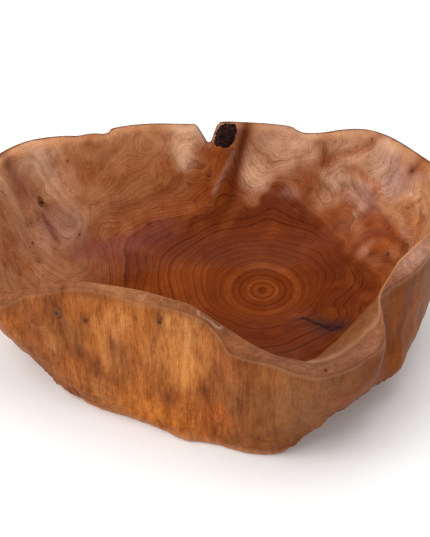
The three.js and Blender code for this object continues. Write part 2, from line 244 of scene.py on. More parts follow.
C_out = open_spline([foot, low, middle, upper, outer], [24, 30, 30, 26])
C_in = open_spline([inner, top, *walls, edge], [16, 34, 34, 34, 30])

R_OUT, R_IN, R_FLOOR, R_UNDER = 58, 76, 22, 12
columns = []
for j in range(COLS):
    co, ci = C_out[:, j], C_in[:, j]
    Lo, Li0 = length(co), 0.0
    corner_o, corner_i = co[-1], ci[0]
    x = outer[j, 0]
    cut = np.interp(x, NOTCH_X, NOTCH_Z) if outer[j, 1] > 100 else 999
    if cut < corner_o[2]:
        lens = np.concatenate([[0], np.cumsum(np.linalg.norm(np.diff(co, axis=0), axis=1))])
        k = int(np.argmax(co[:, 2] > cut))
        f = (cut - co[k - 1, 2]) / (co[k, 2] - co[k - 1, 2])
        Lo = lens[k - 1] + f * (lens[k] - lens[k - 1])
        corner_o = co[k - 1] + f * (co[k] - co[k - 1])
        lens = np.concatenate([[0], np.cumsum(np.linalg.norm(np.diff(ci, axis=0), axis=1))])
        cut_i = min(cut + 0.3, ci[0, 2])
        k = max(1, int(np.argmax(ci[:, 2] < cut_i)))
        f = (ci[k - 1, 2] - cut_i) / (ci[k - 1, 2] - ci[k, 2])
        Li0 = lens[k - 1] + f * (lens[k] - lens[k - 1])
        corner_i = ci[k - 1] + f * (ci[k] - ci[k - 1])
    w = float(np.linalg.norm(corner_i - corner_o))
    back = float(smooth(90, 112, outer[j, 1]))
    r = min(2.3 + 1.2 * back, (0.36 + 0.11 * back) * w)
    rf = 2.0
    a = resample(co, rf, Lo - r, np.linspace(0, 1, R_OUT))
    b = resample(ci, Li0 + r, length(ci), np.linspace(0, 1, R_IN))
    d = (corner_i - corner_o) / max(w, 1e-6)
    ro, ri = corner_o + d * r, corner_i - d * r
    arc = lambda p, c, q, n: [(1 - s) ** 2 * p + 2 * s * (1 - s) * c + s * s * q for s in np.linspace(0, 1, n + 2)[1:-1]]
    flat_n = 7
    flat = []
    for s in np.linspace(0, 1, flat_n):
        p = ro + (ri - ro) * s
        p = p + np.array([0, 0, (0.045 + 0.05 * back) * w * math.sin(math.pi * s)])
        flat.append(p)
    rim = arc(a[-1], corner_o, ro, 4) + flat + arc(ri, corner_i, b[0], 4)
    inset = foot[j] * (1 - rf / np.linalg.norm(foot[j]))
    heel = arc(inset, foot[j], a[0], 3)
    under = [inset * s for s in np.linspace(0.02, 1, R_UNDER)]
    centre = np.array([*FLOOR_CENTRE, FLOOR_HEIGHT])
    fl = []
    for s in np.linspace(1, 0.015, R_FLOOR + 1)[1:]:
        p = centre + (b[-1] - centre) * s
        p[2] = FLOOR_HEIGHT + (b[-1][2] - FLOOR_HEIGHT) * s * s
        fl.append(p)
    columns.append(np.vstack([under, heel, a, rim, b, fl]))
G = np.array(columns)                     # [column, row, 3]
ROWS = G.shape[1]
i_heel = R_UNDER
i_out = i_heel + 3
i_rim = i_out + R_OUT
i_in = i_rim + 15
i_floor = i_in + R_IN
# the wall runs into the floor without a line: smooth the profile's height over the junction
z = G[:, :, 2]
win = smooth(i_in + 30, i_floor - 16, np.arange(ROWS)) * (1 - smooth(i_floor + 8, ROWS - 2, np.arange(ROWS)))
for _ in range(160):
    avg = z.copy()
    avg[:, 1:-1] = (z[:, :-2] + z[:, 2:]) / 2
    z += (avg - z) * win * 0.8
G += SHIFT
G0 = G.copy()


def grid_normals(A):
    du = np.roll(A, -1, 0) - np.roll(A, 1, 0)
    dv = np.empty_like(A)
    dv[:, 1:-1] = A[:, 2:] - A[:, :-2]
    dv[:, 0] = A[:, 1] - A[:, 0]
    dv[:, -1] = A[:, -1] - A[:, -2]
    n = np.cross(du, dv)
    return n / np.maximum(np.linalg.norm(n, axis=2), 1e-9)[:, :, None]


row = np.arange(ROWS)[None, :] * np.ones((COLS, 1))
P = G.reshape(-1, 3)
NORM = grid_normals(G).reshape(-1, 3)
rowf = row.reshape(-1)
m_under = (rowf < i_heel).astype(float)
m_out = smooth(i_heel - 1, i_out + 5, rowf) * (1 - smooth(i_rim - 3, i_rim + 1, rowf))
m_rim = smooth(i_rim + 1, i_rim + 5, rowf) * (1 - smooth(i_in - 6, i_in - 2, rowf))
m_in = smooth(i_in - 2, i_in + 3, rowf)
m_wallin = m_in * (1 - smooth(i_floor - 26, i_floor + 2, rowf))
m_floor = smooth(i_floor - 26, i_floor + 2, rowf)
az = np.degrees(np.arctan2(P[:, 1], P[:, 0]))


def line_distance(points, pts):
    """distance from each point to a polyline, and the place along it (0..1)"""
    pts = np.array(pts, float)
    best = np.full(len(points), 1e9)
    where = np.zeros(len(points))
    n = len(pts) - 1
    for k in range(n):
        a, b = pts[k], pts[k + 1]
        ab = b - a
        s = np.clip(((points - a) @ ab) / (ab @ ab), 0, 1)
        d = np.linalg.norm(points - (a + s[:, None] * ab), axis=1)
        hit = d < best
        best[hit] = d[hit]
        where[hit] = (k + s[hit]) / n
    return best, where


def spot(c, r, stretch=(1, 1, 1)):
    d = (P - np.array(c)) / np.array(stretch)
    return np.exp(-((d**2).sum(1)) / r**2)


disp = np.zeros(len(P))
# broad hand-carved unevenness
disp += m_in * 0.75 * fbm(P / 34.0, 3)
disp += m_wallin * 0.35 * fbm(P / 15.0 + 5, 2) * (0.6 + 0.7 * smooth(20, 110, P[:, 0]))
disp += m_floor * 0.15 * fbm(P / 22.0 + 9, 2)
# outside: long upright flutes, then smaller lumps
flute = P / np.array([26.0, 26.0, 120.0])
disp += m_out * 1.25 * fbm(flute + 3, 3)
disp += m_out * 0.45 * fbm(P / np.array([9.0, 9.0, 26.0]) + 31, 3)
disp += m_out * 2.5 * fbm(P / 6.5 + 77, 3) * (1 - smooth(4, 42, P[:, 2]))
disp += m_out * 0.40 * fbm(P / np.array([6.0, 6.0, 9.0]) + 7, 2)
disp += m_rim * 0.28 * fbm(P / 9.0 + 50, 3)
disp += (m_rim + m_out) * 0.5 * np.abs(fbm(P / 16.0 + 50, 2)) * smooth(i_rim - 9, i_rim, rowf) * -1.0

LINES = {
    "seam_right": [(31.2, 145.8, 128.2), (28.7, 140.6, 117.2), (25.3, 138.7, 104.3), (22.8, 136.2, 91.5), (20.2, 133, 79), (18.5, 128.9, 66), (15.9, 124.1, 55.5), (12.4, 118.9, 46.2)],
    "streak": [(20.1, 138.7, 104.2), (14.9, 136.6, 93.3), (10.6, 134.4, 84.4), (5.3, 131.5, 74.8), (2.7, 129.1, 68)],
    "seam_left": [(-0.8, 138.7, 111.3), (1, 137, 99.2), (0.1, 134.1, 86.6), (-2.6, 130.1, 72.5), (-4.3, 125.3, 60)],
    "pillar": [(12.3, 138.9, 106.1), (8.8, 136.2, 92.5), (5.3, 132.2, 77.4), (1.8, 126.7, 62.2), (0, 121.1, 51.1)],
    "zigzag": [(97, 133.1, 87.3), (101.6, 130.6, 78.5), (107.9, 128.2, 71.7), (113.7, 131.1, 82.3), (121.6, 129, 79.5), (126, 123.2, 69.7), (134.4, 114.3, 64.1), (127.8, 113.3, 56.4)],
    "valley": [(146.3, 134.9, 123.7), (137.3, 132.7, 113), (125, 135.4, 106.3), (112.2, 135.6, 102.1), (103.7, 134.9, 96.4), (97.8, 133.5, 89.1)],
    "dmark": [(96.3, 137.3, 110.2), (98.3, 136.1, 102.8), (99.5, 134.3, 92.7)],
    "rmark": [(180.2, 98.7, 121.9), (173.7, 96.6, 115.3), (168.7, 99.8, 108.3)],
    "pmark": [(125.9, 126.2, 76.2), (135.2, 117.4, 69.4), (144, 105.3, 66)],
    "arch": [(120.8, 84, 32.1), (129.6, 91.4, 40.8), (140.4, 91.6, 49.1), (153.8, 82.3, 54.5), (162.7, 69.7, 56), (163.2, 55.6, 53.5), (155.3, 55, 44.5), (148.2, 67.9, 41.5)],
    "lgroove": [(-174.2, 107.6, 120.3), (-170.2, 103.8, 111.8), (-165.3, 104.2, 99.5), (-159.4, 104.4, 87.2), (-152.5, 105.2, 77.4), (-146.1, 105.8, 69.8), (-139.6, 100.6, 56.6), (-132.8, 94.4, 46.1), (-124.1, 88.6, 37.4), (-116.8, 78.3, 29.8)],
    "lgroove2": [(-145.3, 101.7, 63.1), (-139.5, 98.1, 54.1), (-134.4, 92.2, 45.5)],
    "lridge": [(-175.9, 89.5, 104.9), (-171.9, 90.9, 93.9), (-167.6, 90.4, 83.1), (-163.1, 87.6, 71.6), (-158.3, 83.3, 61.1), (-151, 80.7, 51.4), (-142.1, 80.1, 43.4), (-133.3, 71.7, 34.6)],
    "lridge2": [(-177.1, 79.7, 97.2), (-173, 78.6, 84.8), (-168.5, 75.9, 73.4), (-162.3, 72.8, 61.1), (-154.2, 68.3, 49.7)],
    "purple": [(-113.9, 88.6, 33.2), (-101.2, 94.4, 33.4), (-88.3, 96.9, 32.6), (-75.3, 99.1, 32.1), (-62.3, 105, 34.4), (-51.9, 109.7, 37.6), (-40.5, 114.5, 42.9)],
    "shelf": [(-25.3, 131.4, 82.1), (-34.1, 128.5, 71.5), (-44.7, 126.7, 66.4), (-57, 123.6, 61.1), (-72.8, 120.1, 58.2), (-88.4, 115.2, 56.2), (-98.8, 110.5, 50.9), (-104.1, 105.5, 44.8)],
    "back_groove": [(-1, 150, 112), (-3, 147, 90), (-7, 140, 60), (-11, 130, 30), (-15, 120, 6)],
    "dark_right": [(154, -48, 104), (150, -55, 84), (147, -60, 62), (145, -66, 42)],
    "check_core": [(71.1, 11.0, 18.7), (77.1, 12.8, 18.8), (82.0, 9.6, 18.8), (87.4, 4.0, 18.9), (93.0, -0.1, 18.9), (98.6, -3.3, 19.4), (104.0, -5.8, 21.4), (109.0, -4.7, 22.6)],
    "check_branch": [(82, 9.6, 18.8), (76.5, 3.5, 18.7), (70.5, 0.6, 18.7)],
    "check_branch2": [(93, -0.1, 19), (98.2, 3.6, 19.1), (104.5, 3.2, 20.8)],
    "rim_fissure": [(-5.5, -116.4, 125), (-2.2, -116.9, 123.2), (0.7, -117.7, 121.5), (3.6, -118.8, 119.6), (6.5, -120.2, 117.4)],
}
dist, along = {}, {}
for k, v in LINES.items():
    dist[k], along[k] = line_distance(P, v)
g = lambda name, w: np.exp(-((dist[name] / w) ** 2))
disp -= m_in * 2.4 * g("lgroove", 7) * (1 - 0.5 * along["lgroove"])
disp += m_in * 1.9 * g("lridge", 5.5)
disp += m_in * 0.9 * g("lridge2", 4.5)
disp += m_in * 2.0 * g("pillar", 8)
disp -= m_in * 1.3 * g("seam_right", 5.0) * (1 - 0.6 * along["seam_right"])
disp += m_in * 0.8 * g("streak", 3.0)
disp -= m_in * 0.8 * g("seam_left", 3.5)
disp -= m_in * 1.6 * g("valley", 6) + m_in * 1.3 * g("pmark", 5) + m_in * 1.1 * g("arch", 4)
disp += m_in * 1.5 * g("zigzag", 4.5)
disp -= m_in * 0.8 * g("shelf", 6)
for c_, r_, h_ in [((149, 125, 114), 12, 1.8), ((144, 125, 100), 10, 1.2), ((148, 76, 50), 10, 1.6), ((-147, 120, 104), 14, 1.5), ((-21, 138, 114), 10, 1.2), ((33, 136, 80), 12, 1.2),
                   ((68, 125, 58), 9, 0.8), ((-104, 125, 98), 12, -1.2), ((-52, 136, 108), 11, 0.9), ((110, 134, 84), 7, -0.9), ((172, 86, 100), 11, 1.2), ((-172, 50, 80), 18, 1.4), ((90, 137, 108), 12, -1.0)]:
    disp += m_in * h_ * np.exp(-((P - np.array(c_)) ** 2).sum(1) / r_**2)
disp -= m_out * 3.2 * g("back_groove", 9) * (0.5 + 0.5 * along["back_groove"])
disp += m_out * 1.4 * np.exp(-(((dist["back_groove"] - 15) / 7) ** 2))
disp -= m_in * 1.2 * np.maximum(g("check_core", 1.9), 0.5 * np.maximum(g("check_branch", 1.5), g("check_branch2", 1.5)))
fissure = g("rim_fissure", 1.5) * (0.35 + 0.65 * np.clip(np.abs(along["rim_fissure"] - 0.5) * -3 + 1.4, 0, 1)) * np.clip(m_rim + m_in, 0, 1)
disp -= 1.2 * fissure
disp += 0.35 * np.exp(-(((dist["rim_fissure"] - 3.2) / 1.4) ** 2)) * np.clip(m_rim + m_in, 0, 1) * (P[:, 2] > 112)
# soft outer ridge under the flared lobe, and the hollow between the lobe and the right wall
disp += m_out * 1.8 * np.exp(-((line_distance(P, [(127, -126, 99), (118, -124, 76), (104, -121, 52), (84, -122, 26)])[0] / 9) ** 2))
disp -= m_out * 1.2 * np.exp(-((line_distance(P, [(129, -82, 108), (138, -72, 70), (136, -72, 36)])[0] / 8) ** 2))
# pocket for the bark lump in the inner face and the rim
bark_c = np.array([12.8, 142.6, 118.0])
pocket = np.exp(-(((P - bark_c) / np.array([7.2, 9.0, 11.5])) ** 2).sum(1) ** 2)
disp -= 3.2 * pocket * smooth(i_rim + 5, i_rim + 9, rowf) * (P[:, 1] > 120)

# live pin knots: small swellings inside, dimples outside (centre, radius, darkness)
INNER_KNOTS = [(-149.5, 106.0, 79.0, 2.2), (-152.5, 106.0, 83.5, 1.3), (-142.5, 107.5, 68.5, 1.5), (-141.5, 99.7, 57.2, 1.7), (-154.7, 91.3, 62.4, 1.5), (-157.9, 85.6, 61.9, 1.5), (-152.9, 75.4, 51, 2.0), (-154.7, 70, 50.9, 1.5),
               (-146.1, 84.4, 48.8, 1.2), (-114.9, 101, 43.2, 2.1), (-134, 83.7, 39.9, 1.2), (-136.4, 76.6, 38.1, 1.4), (-147.3, 61.5, 41.4, 1.6),
               (-123.5, 125.1, 102.5, 1.2), (-94.9, 127.3, 95.5, 1.1), (-1.4, 133.2, 83.5, 1.7), (1.8, 125, 58.4, 1.8), (-1.2, 121.7, 52.3, 2.0),
               (138.7, 134, 119.7, 1.6), (170.2, 98.5, 109.5, 2.0), (137.2, 77.1, 37.7, 1.4), (151.3, 68.6, 44.2, 2.4), (-149.3, 98.0, 62.0, 1.3),
               (-170.0, 30.0, 62.0, 1.8), (-176.0, 8.0, 80.0, 1.5), (-160.0, -25.0, 60.0, 2.0), (168.0, 40.0, 70.0, 1.6), (60.0, -128.0, 66.0, 1.8), (-60.0, -86.0, 80.0, 1.6)]
OUTER_KNOTS = [(-116.6, -79.6, 103.5, 3.2), (-115.2, -79.6, 91.5, 2.6), (-94.0, -86.6, 99.5, 1.8), (-37.2, -110, 118.5, 2.0), (-38.2, -109.6, 106.0, 1.8), (-110.4, -81.7, 120.3, 2.6), (-114, -79.8, 84.8, 2.6), (-83.4, -91, 124.5, 1.5), (-54.7, -104.3, 110.6, 1.6),
               (-74, -94.9, 77.5, 2.8), (-100.2, -83.5, 62.4, 2.4), (-88.9, -88.2, 48.7, 3.0), (-41.9, -108.4, 93.1, 1.6), (-7.5, -119.5, 82.7, 1.6),
               (-30.6, -112.9, 39.5, 3.0), (-3.4, -121, 54.7, 2.2), (4.3, -124.7, 75.3, 2.0), (20.6, -136.3, 56.9, 2.2), (16.2, -133.8, 45.8, 1.8),
               (3.6, -124.4, 15.2, 2.4), (36.6, -136.2, 17.3, 2.0), (-47, -105, 36, 2.2), (145.2, -63.8, 68.6, 1.4), (-14, -119, 90, 1.4),
               (-150, -70, 70, 1.8), (-186, 20, 60, 2.6), (-190, 60, 90, 1.8), (-170, 90, 50, 2.2), (-120, 124, 60, 2.6), (-80, 134, 80, 1.8),
               (-60, 140, 50, 2.4), (40, 144, 70, 2.6), (60, 140, 96, 1.6), (90, 140, 60, 2.2), (140, 126, 80, 2.4), (180, 80, 70, 2.0), (190, 40, 90, 1.8),
               (176, 0, 60, 2.4), (-30, 138, 90, 1.6), (110, 132, 50, 1.8), (-150, 100, 70, 2.0)]
SWIRLS = [(-24.2, -114, 111.7, 3.4), (-131.8, -72, 80.1, 3.6), (168.9, 79.2, 72.5, 4.5), (7.7, -126.8, 32.6, 5.0), (-14, 131, 84, 2.6), (-150, -40, 60, 3.5), (70, 142, 80, 3.6)]
for x_, y_, z_, r_ in OUTER_KNOTS:
    disp -= m_out * 0.55 * spot((x_, y_, z_), r_ * 1.5)
for x_, y_, z_, r_ in SWIRLS:
    disp += (m_out + m_in) * 0.5 * spot((x_, y_, z_), r_ * 1.6)

P = P + NORM * disp[:, None]
# small step in the back left rim
step_w = smooth(i_rim - 14, i_rim, rowf) * (1 - smooth(i_in + 2, i_in + 18, rowf)) * (P[:, 1] > 100)
P[:, 2] += step_w * (1.9 * np.exp(-(((P[:, 0] + 105) / 7) ** 2)) - 2.8 * smooth(-100, -90, P[:, 0]) * (1 - smooth(-88.5, -85.8, P[:, 0])))
hold = m_under > 0
P[hold, 2] = 0.0
P[:, 2] = np.maximum(P[:, 2], 0.0)
# keep the rim's highest point inside the CAD box
P[:, 2] = np.minimum(P[:, 2], 130.9)


# ---------------------------------------------------------------- what the wood looks like, per vertex
# growth figure: given contour lines of the ring number (mm from the pith along the floor), smoothly interpolated
PITH = np.array([44.3, 51.5])
CONTOURS = [
    (12, [(56,51,19),(50,42,19),(38,42,19),(32,51,19),(38,61,19),(50,60,19)]),
    (31.5, [(75,52,19),(69,32,19),(53,20,19),(33,21,18),(18,33,18),(12,52,19),(18,72,19),(35,83,21),(54,82,21),(70,72,19)]),
    (48, [(-5,53,19),(-7,74,19),(4,91,24),(26,100,27),(45,102,28),(69,97,27),(89,83,24),(96,59,21),(89,38,19),(75,22,19),(49,10,18),(25,18,18)]),
    (67, [(-23,54,19),(-26,78,20),(-18,93,25),(-3,104,31),(19,110,35),(45,113,37),(77,110,36),(103,98,31),(116,73,27),(96,31,19),(74,-2,19),(49,-15,19)]),
    (84, [(110,25,21),(95,-8,20),(74,-24,19),(49,-33,19),(20,-30,19),(-5,-20,19)]),
    (99, [(113,-16,22),(90,-38,20),(60,-51,19),(25,-51,19),(-10,-40,19)]),
    (84, [(-44,70,19),(-42,87,24),(-31,101,29),(-13,109,35),(4,115,41),(26,119,45),(45,122,50),(70,119,48),(92,113,41),(110,98,34),(120,79,30),(129,59,29)]),
    (99, [(-56,73,20),(-59,88,25),(-54,101,31),(-40,109,36),(-23,114,42),(-7,119,48),(10,122,52),(28,125,58),(45,128,62),(56,131,72),(66,127,63),(78,123,55),(96,116,45),(113,101,36),(122,82,32)]),
    (112, [(-86,84,26),(-90,98,34),(-83,106,41),(-71,114,47),(-54,119,51),(-36,121,54),(-14,123,57),(-2,128,66),(10,131,74),(22,130,69),(34,126,58),(41,127,59),(48,131,70),(56,133,79),(69,131,76),(77,127,65),(87,123,56),(100,117,47),(111,105,39),(118,89,33)]),
    (120, [(-107,99,39),(-101,109,50),(-93,114,56),(-80,119,58),(-62,122,59),(-49,126,65),(-38,128,69),(-28,131,79),(-25,134,91),(-23,137,108)]),
    (129, [(-142,124,115),(-138,122,104),(-131,121,90),(-122,118,77),(-115,116,67),(-108,116,63),(-101,117,64),(-92,121,70),(-79,126,76),(-68,131,86),(-55,134,94),(-49,136,102),(-42,137,108),(-40,138,116),(-46,139,123)]),
    (137, [(-131,126,114),(-125,125,103),(-121,123,91),(-117,121,81),(-110,120,75),(-103,121,76),(-99,123,83),(-91,127,91),(-80,132,98),(-72,135,109),(-68,137,119)]),
    (145, [(-123,128,115),(-116,126,102),(-112,124,91),(-107,123,84),(-102,125,92),(-95,129,102),(-84,133,111),(-77,136,120)]),
    (151, [(-111,128,115),(-103,128,105),(-92,132,115)]),
    (140, [(-53,138,120),(-47,138,115),(-50,137,108),(-57,136,106),(-61,136,111),(-59,138,118)]),
    (118, [(10,136,92),(3,133,79),(15,137,97),(22,139,106)]),
    (126, [(31,140,115),(35,139,104),(39,138,96),(45,137,90),(52,136,87),(69,136,92),(80,136,98),(89,137,105),(96,137,110)]),
    (133, [(36,142,123),(44,141,113),(56,140,106),(69,138,105),(82,138,110),(90,139,117)]),
    (140, [(44,144,126),(54,141,117),(64,140,113),(75,140,116),(81,143,120)]),
    (118, [(78,134,87),(83,130,73),(91,124,59),(101,120,53),(112,120,54),(119,112,49),(123,97,40)]),
    (127, [(97,135,95),(89,132,83),(90,127,66),(97,123,57),(109,123,59),(112,126,66),(108,130,77),(105,132,85),(113,133,91),(121,131,84),(126,125,73),(134,116,66),(143,106,66),(151,92,60)]),
    (137, [(144,133,123),(135,133,112),(125,135,105),(112,135,100),(104,134,93)]),
    (146, [(155,125,123),(150,123,111),(142,126,99),(131,129,90),(135,122,78),(143,113,75),(154,100,74)]),
    (153, [(161,115,121),(158,112,108),(154,112,95)]),
    (137, [(162,85,67),(168,88,82),(173,90,97),(176,92,111)]),
    (130, [(162,67,54),(155,63,45),(139,71,36),(127,84,35),(127,94,41),(140,93,50),(156,81,55)]),
    (140, [(153,74,49),(147,73,42),(136,81,39),(136,88,43),(147,84,49)]),
    (148, [(144,80,44)]),
    (122, [(-176,89,104),(-169,90,86),(-163,85,69),(-155,82,56),(-143,81,45),(-133,74,35)]),
    (131, [(-176,101,119),(-168,102,103),(-159,104,85),(-149,103,68),(-140,97,54),(-130,92,43),(-119,86,34)]),
    (113, [(-176,76,89),(-170,74,75),(-161,70,59),(-151,68,47),(-139,64,36)]),
    (104, [(-175,55,74),(-166,53,58),(-155,52,46)]),
    (139, [(-164,115,121),(-154,116,104),(-146,115,88),(-135,112,71),(-125,110,59),(-116,107,50)]),
]
d_pith = np.hypot(P[:, 0] - PITH[0], P[:, 1] - PITH[1])
kp, kl = [], []
for lv_, pts_ in CONTOURS:
    for q_ in pts_:
        kp.append(q_)
        kl.append(lv_ + (15.0 if q_[0] < -110 and q_[2] < 120 and q_[1] < 117 and lv_ in (104, 113, 122, 131, 139) else 0.0))
_pick = np.random.RandomState(5)
hid = np.where((m_in > 0.9) & ((az < 22) | (az > 172)) & ~((P[:, 0] > 100) & (az > -5)))[0]
hid = _pick.choice(hid, 90, replace=False)
for k_ in hid:
    q_ = P[k_]
    if min(np.hypot(*(q_[:2] - np.array(o_[:2]))) + abs(q_[2] - o_[2]) for o_ in kp) < 16:
        continue
    fl_ = 1.0 * math.hypot(q_[0] - PITH[0], q_[1] - PITH[1])
    kp.append(tuple(q_))
    kl.append(min(fl_, 118) + 0.50 * max(q_[2] - 24, 0) + 5 * math.sin(q_[0] / 19.0) * math.cos(q_[1] / 23.0))
kp, kl = np.array(kp, float), np.array(kl, float)
Kd = np.sqrt(((kp[:, None] - kp[None]) ** 2).sum(2) + 5.0**2)
n_ = len(kp)
A_ = np.zeros((n_ + 4, n_ + 4))
A_[:n_, :n_] = Kd - 0.35 * np.eye(n_)
A_[:n_, n_:] = np.c_[np.ones(n_), kp / 100.0]
A_[n_:, :n_] = A_[:n_, n_:].T
w_ = np.linalg.solve(A_, np.r_[kl, np.zeros(4)])
ring = np.empty(len(P))
for a_ in range(0, len(P), 4000):
    q_ = P[a_ : a_ + 4000]
    ring[a_ : a_ + 4000] = np.sqrt(((q_[:, None] - kp[None]) ** 2).sum(2) + 25.0) @ w_[:n_] + np.c_[np.ones(len(q_)), q_ / 100.0] @ w_[n_:]
far = smooth(20, 70, d_pith)
ring_clean = ring.copy()
ring += far * (1 - 0.5 * m_floor) * (1.6 * fbm(P / 28.0 + 2, 3) + 0.35 * fbm(P / 10.0 + 8, 2))
for x_, y_, z_, r_ in INNER_KNOTS:
    ring += 3.5 * spot((x_, y_, z_), r_ * 2.4)
for x_, y_, z_, r_ in SWIRLS:
    ring += 9.0 * spot((x_, y_, z_), r_ * 1.7)
for c_, h_, r_ in [((105, -98, 84), 14, 14), ((92, -118, 82), -9, 13), ((122, -92, 104), 10, 9), ((110, -122, 102), 16, 13), ((84, -140, 98), 8, 10), ((20, -128, 108), 8, 12)]:
    ring += h_ * spot(c_, r_)

# heartwood: the red-brown pool on the floor, up to a wandering line on the wall
side_x = smooth(60, 110, P[:, 0])
heart = (1 - smooth(0, 1, (ring_clean + (9.0 + 9.0 * side_x) * fbm(P / 13.0 + 61, 4) - (93 - 12 * side_x)) / (28 + 34 * side_x))) * m_in
heart = np.maximum(heart, (1 - smooth(0, 1, (P[:, 2] + (5 + 6 * side_x) * fbm(P / 18.0 + 61, 3) - (23 - 5 * side_x)) / (19 + 19 * side_x))) * m_in * smooth(-165, -60, P[:, 0]))

# wood tones: the brightest is a painted highlight tone, the pale one serves both lighter wood and painted highlights,
# and the red-brown outer one also serves as painted shade under the flared lobe
TONE = dict(
    painted_highlight=(0.86, 0.50, 0.30), pale_wood_and_highlight=(0.60, 0.355, 0.225), tan=(0.50, 0.230, 0.108), honey=(0.40, 0.138, 0.046), gold=(0.44, 0.140, 0.030), orange=(0.30, 0.068, 0.010),
    brown=(0.24, 0.066, 0.020), umber=(0.14, 0.036, 0.012), heart=(0.182, 0.032, 0.0040), heart_dark=(0.105, 0.015, 0.0016), heart_light=(0.32, 0.076, 0.012), amber=(0.33, 0.060, 0.004),
    purple=(0.215, 0.054, 0.036), grey=(0.37, 0.180, 0.120), pink=(0.48, 0.265, 0.205), dark=(0.05, 0.018, 0.010),
    out_olive=(0.235, 0.094, 0.034), out_gold=(0.40, 0.118, 0.017), out_pale=(0.45, 0.175, 0.047), out_honey=(0.275, 0.080, 0.017), out_brown=(0.208, 0.069, 0.019), out_umber=(0.110, 0.029, 0.009), out_red_brown_and_shade=(0.215, 0.050, 0.004),
    rim=(0.185, 0.060, 0.020), rim_grey=(0.185, 0.068, 0.033), rim_pale=(0.265, 0.100, 0.037))
TONE = {k: np.array(v) for k, v in TONE.items()}


def paint(base, blobs, mask=1.0):
    num, den = base * 1.0, np.ones(len(P))
    for c, r_, name, w_ in blobs:
        s = w_ * spot(c, r_) * mask
        num = num + TONE[name] * s[:, None]
        den = den + s
    return num / den[:, None]


def fill(name):
    return np.tile(TONE[name], (len(P), 1))


def toward(base, name, amount):
    return base + (TONE[name] - base) * np.clip(amount, 0, 1)[:, None]


# base wall tone; the pale blobs in it mark painted highlights on lighter wood
wall_tone = paint(fill("tan"), [
    ((-147, 120, 100), 34, "tan", 2), ((-147, 120, 106), 12, "pale_wood_and_highlight", 6), ((-135, 119, 86), 14, "pale_wood_and_highlight", 1.4), ((-104, 126, 96), 24, "honey", 2.6),
    ((-52, 137, 108), 24, "tan", 1.0), ((-60, 132, 92), 26, "honey", 3.2), ((-21, 138, 114), 12, "pale_wood_and_highlight", 8), ((-18, 136, 98), 9, "pale_wood_and_highlight", 2), ((-36, 121, 54), 26, "honey", 3.4),
    ((-9, 130, 72), 15, "orange", 2.3), ((8, 137, 96), 11, "orange", 4.4), ((13, 132, 78), 9, "brown", 4.0), ((4, 127, 64), 13, "orange", 5), ((0, 122, 52), 12, "heart", 5), ((-10, 138, 100), 7, "orange", 2.0),
    ((37, 138, 100), 16, "tan", 3), ((33, 136, 82), 9, "pale_wood_and_highlight", 7), ((31, 136, 94), 8, "pale_wood_and_highlight", 3), ((58, 131, 72), 14, "tan", 2), ((70, 128, 64), 7, "pink", 5),
    ((70, 139, 103), 18, "pale_wood_and_highlight", 1.6), ((60, 140, 112), 14, "grey", 4), ((94, 139, 120), 11, "tan", 2.6), ((84, 138, 108), 12, "pale_wood_and_highlight", 1.6), ((118, 137, 115), 15, "tan", 3.4), ((122, 134, 108), 12, "pale_wood_and_highlight", 1.5), ((110, 134, 80), 10, "pale_wood_and_highlight", 3.0), ((90, 133, 84), 9, "honey", 3.0),
    ((98, 134, 90), 7, "orange", 2.0), ((120, 128, 88), 6, "orange", 1.6), ((147, 125, 106), 11, "pale_wood_and_highlight", 11), ((146, 125, 116), 8, "pale_wood_and_highlight", 4), ((158, 109, 94), 11, "pink", 7), ((168, 104, 100), 8, "pink", 3), ((133, 120, 68), 9, "pink", 6),
    ((178, 96, 116), 9, "orange", 2.2), ((146, 82, 50), 15, "orange", 9), ((140, 84, 42), 7, "tan", 3.0), ((152, 72, 46), 6, "honey", 3.0), ((162, 89, 70), 12, "tan", 2.0), ((176, 86, 99), 14, "tan", 3), ((174, 70, 80), 14, "gold", 1.6), ((120, 105, 48), 10, "tan", 3.0),
    # the purple blobs on the left-back groove are painted shade
    ((-163, 105, 97), 12, "purple", 1.6), ((-159, 102, 84), 10, "purple", 2.2), ((-155, 92, 64), 13, "brown", 1.5), ((-131, 105, 56), 13, "grey", 3.5), ((-120, 101, 48), 11, "grey", 3.0),
    ((-150, 72, 48), 16, "grey", 1.0), ((-150, 72, 48), 16, "tan", 1.0), ((-172, 60, 60), 26, "tan", 1.6), ((-172, 60, 60), 26, "honey", 0.8), ((-178, 30, 80), 30, "tan", 2), ((-165, -20, 70), 26, "honey", 2), ((-120, -66, 80), 30, "tan", 2),
    ((-40, -95, 90), 36, "honey", 2), ((30, -118, 80), 30, "tan", 2), ((90, -110, 70), 26, "honey", 3), ((140, -30, 70), 26, "honey", 2.4), ((165, 40, 90), 24, "tan", 2),
])
mottled = fbm(P / 17.0 + 40, 4)
wall_tone = wall_tone * (1 + 0.12 * mottled[:, None])
wall_tone = wall_tone * (1 + 0.14 * smooth(-110, -140, P[:, 0]) * (P[:, 1] > 85))[:, None]
wall_tone = toward(wall_tone, "orange", 0.42 * smooth(0.10, 0.8, fbm(P / np.array([13.0, 13.0, 22.0]) + 71, 3)))
wall_tone = toward(wall_tone, "pink", 0.40 * smooth(0.15, 0.8, fbm(P / 20.0 + 90, 3)) * smooth(60, 120, P[:, 0]) * (P[:, 1] > 60))
wall_tone = toward(wall_tone, "orange", 0.75 * (1 - smooth(108, 134, ring_clean + 7 * fbm(P / 11.0 + 44, 4))) * m_in)
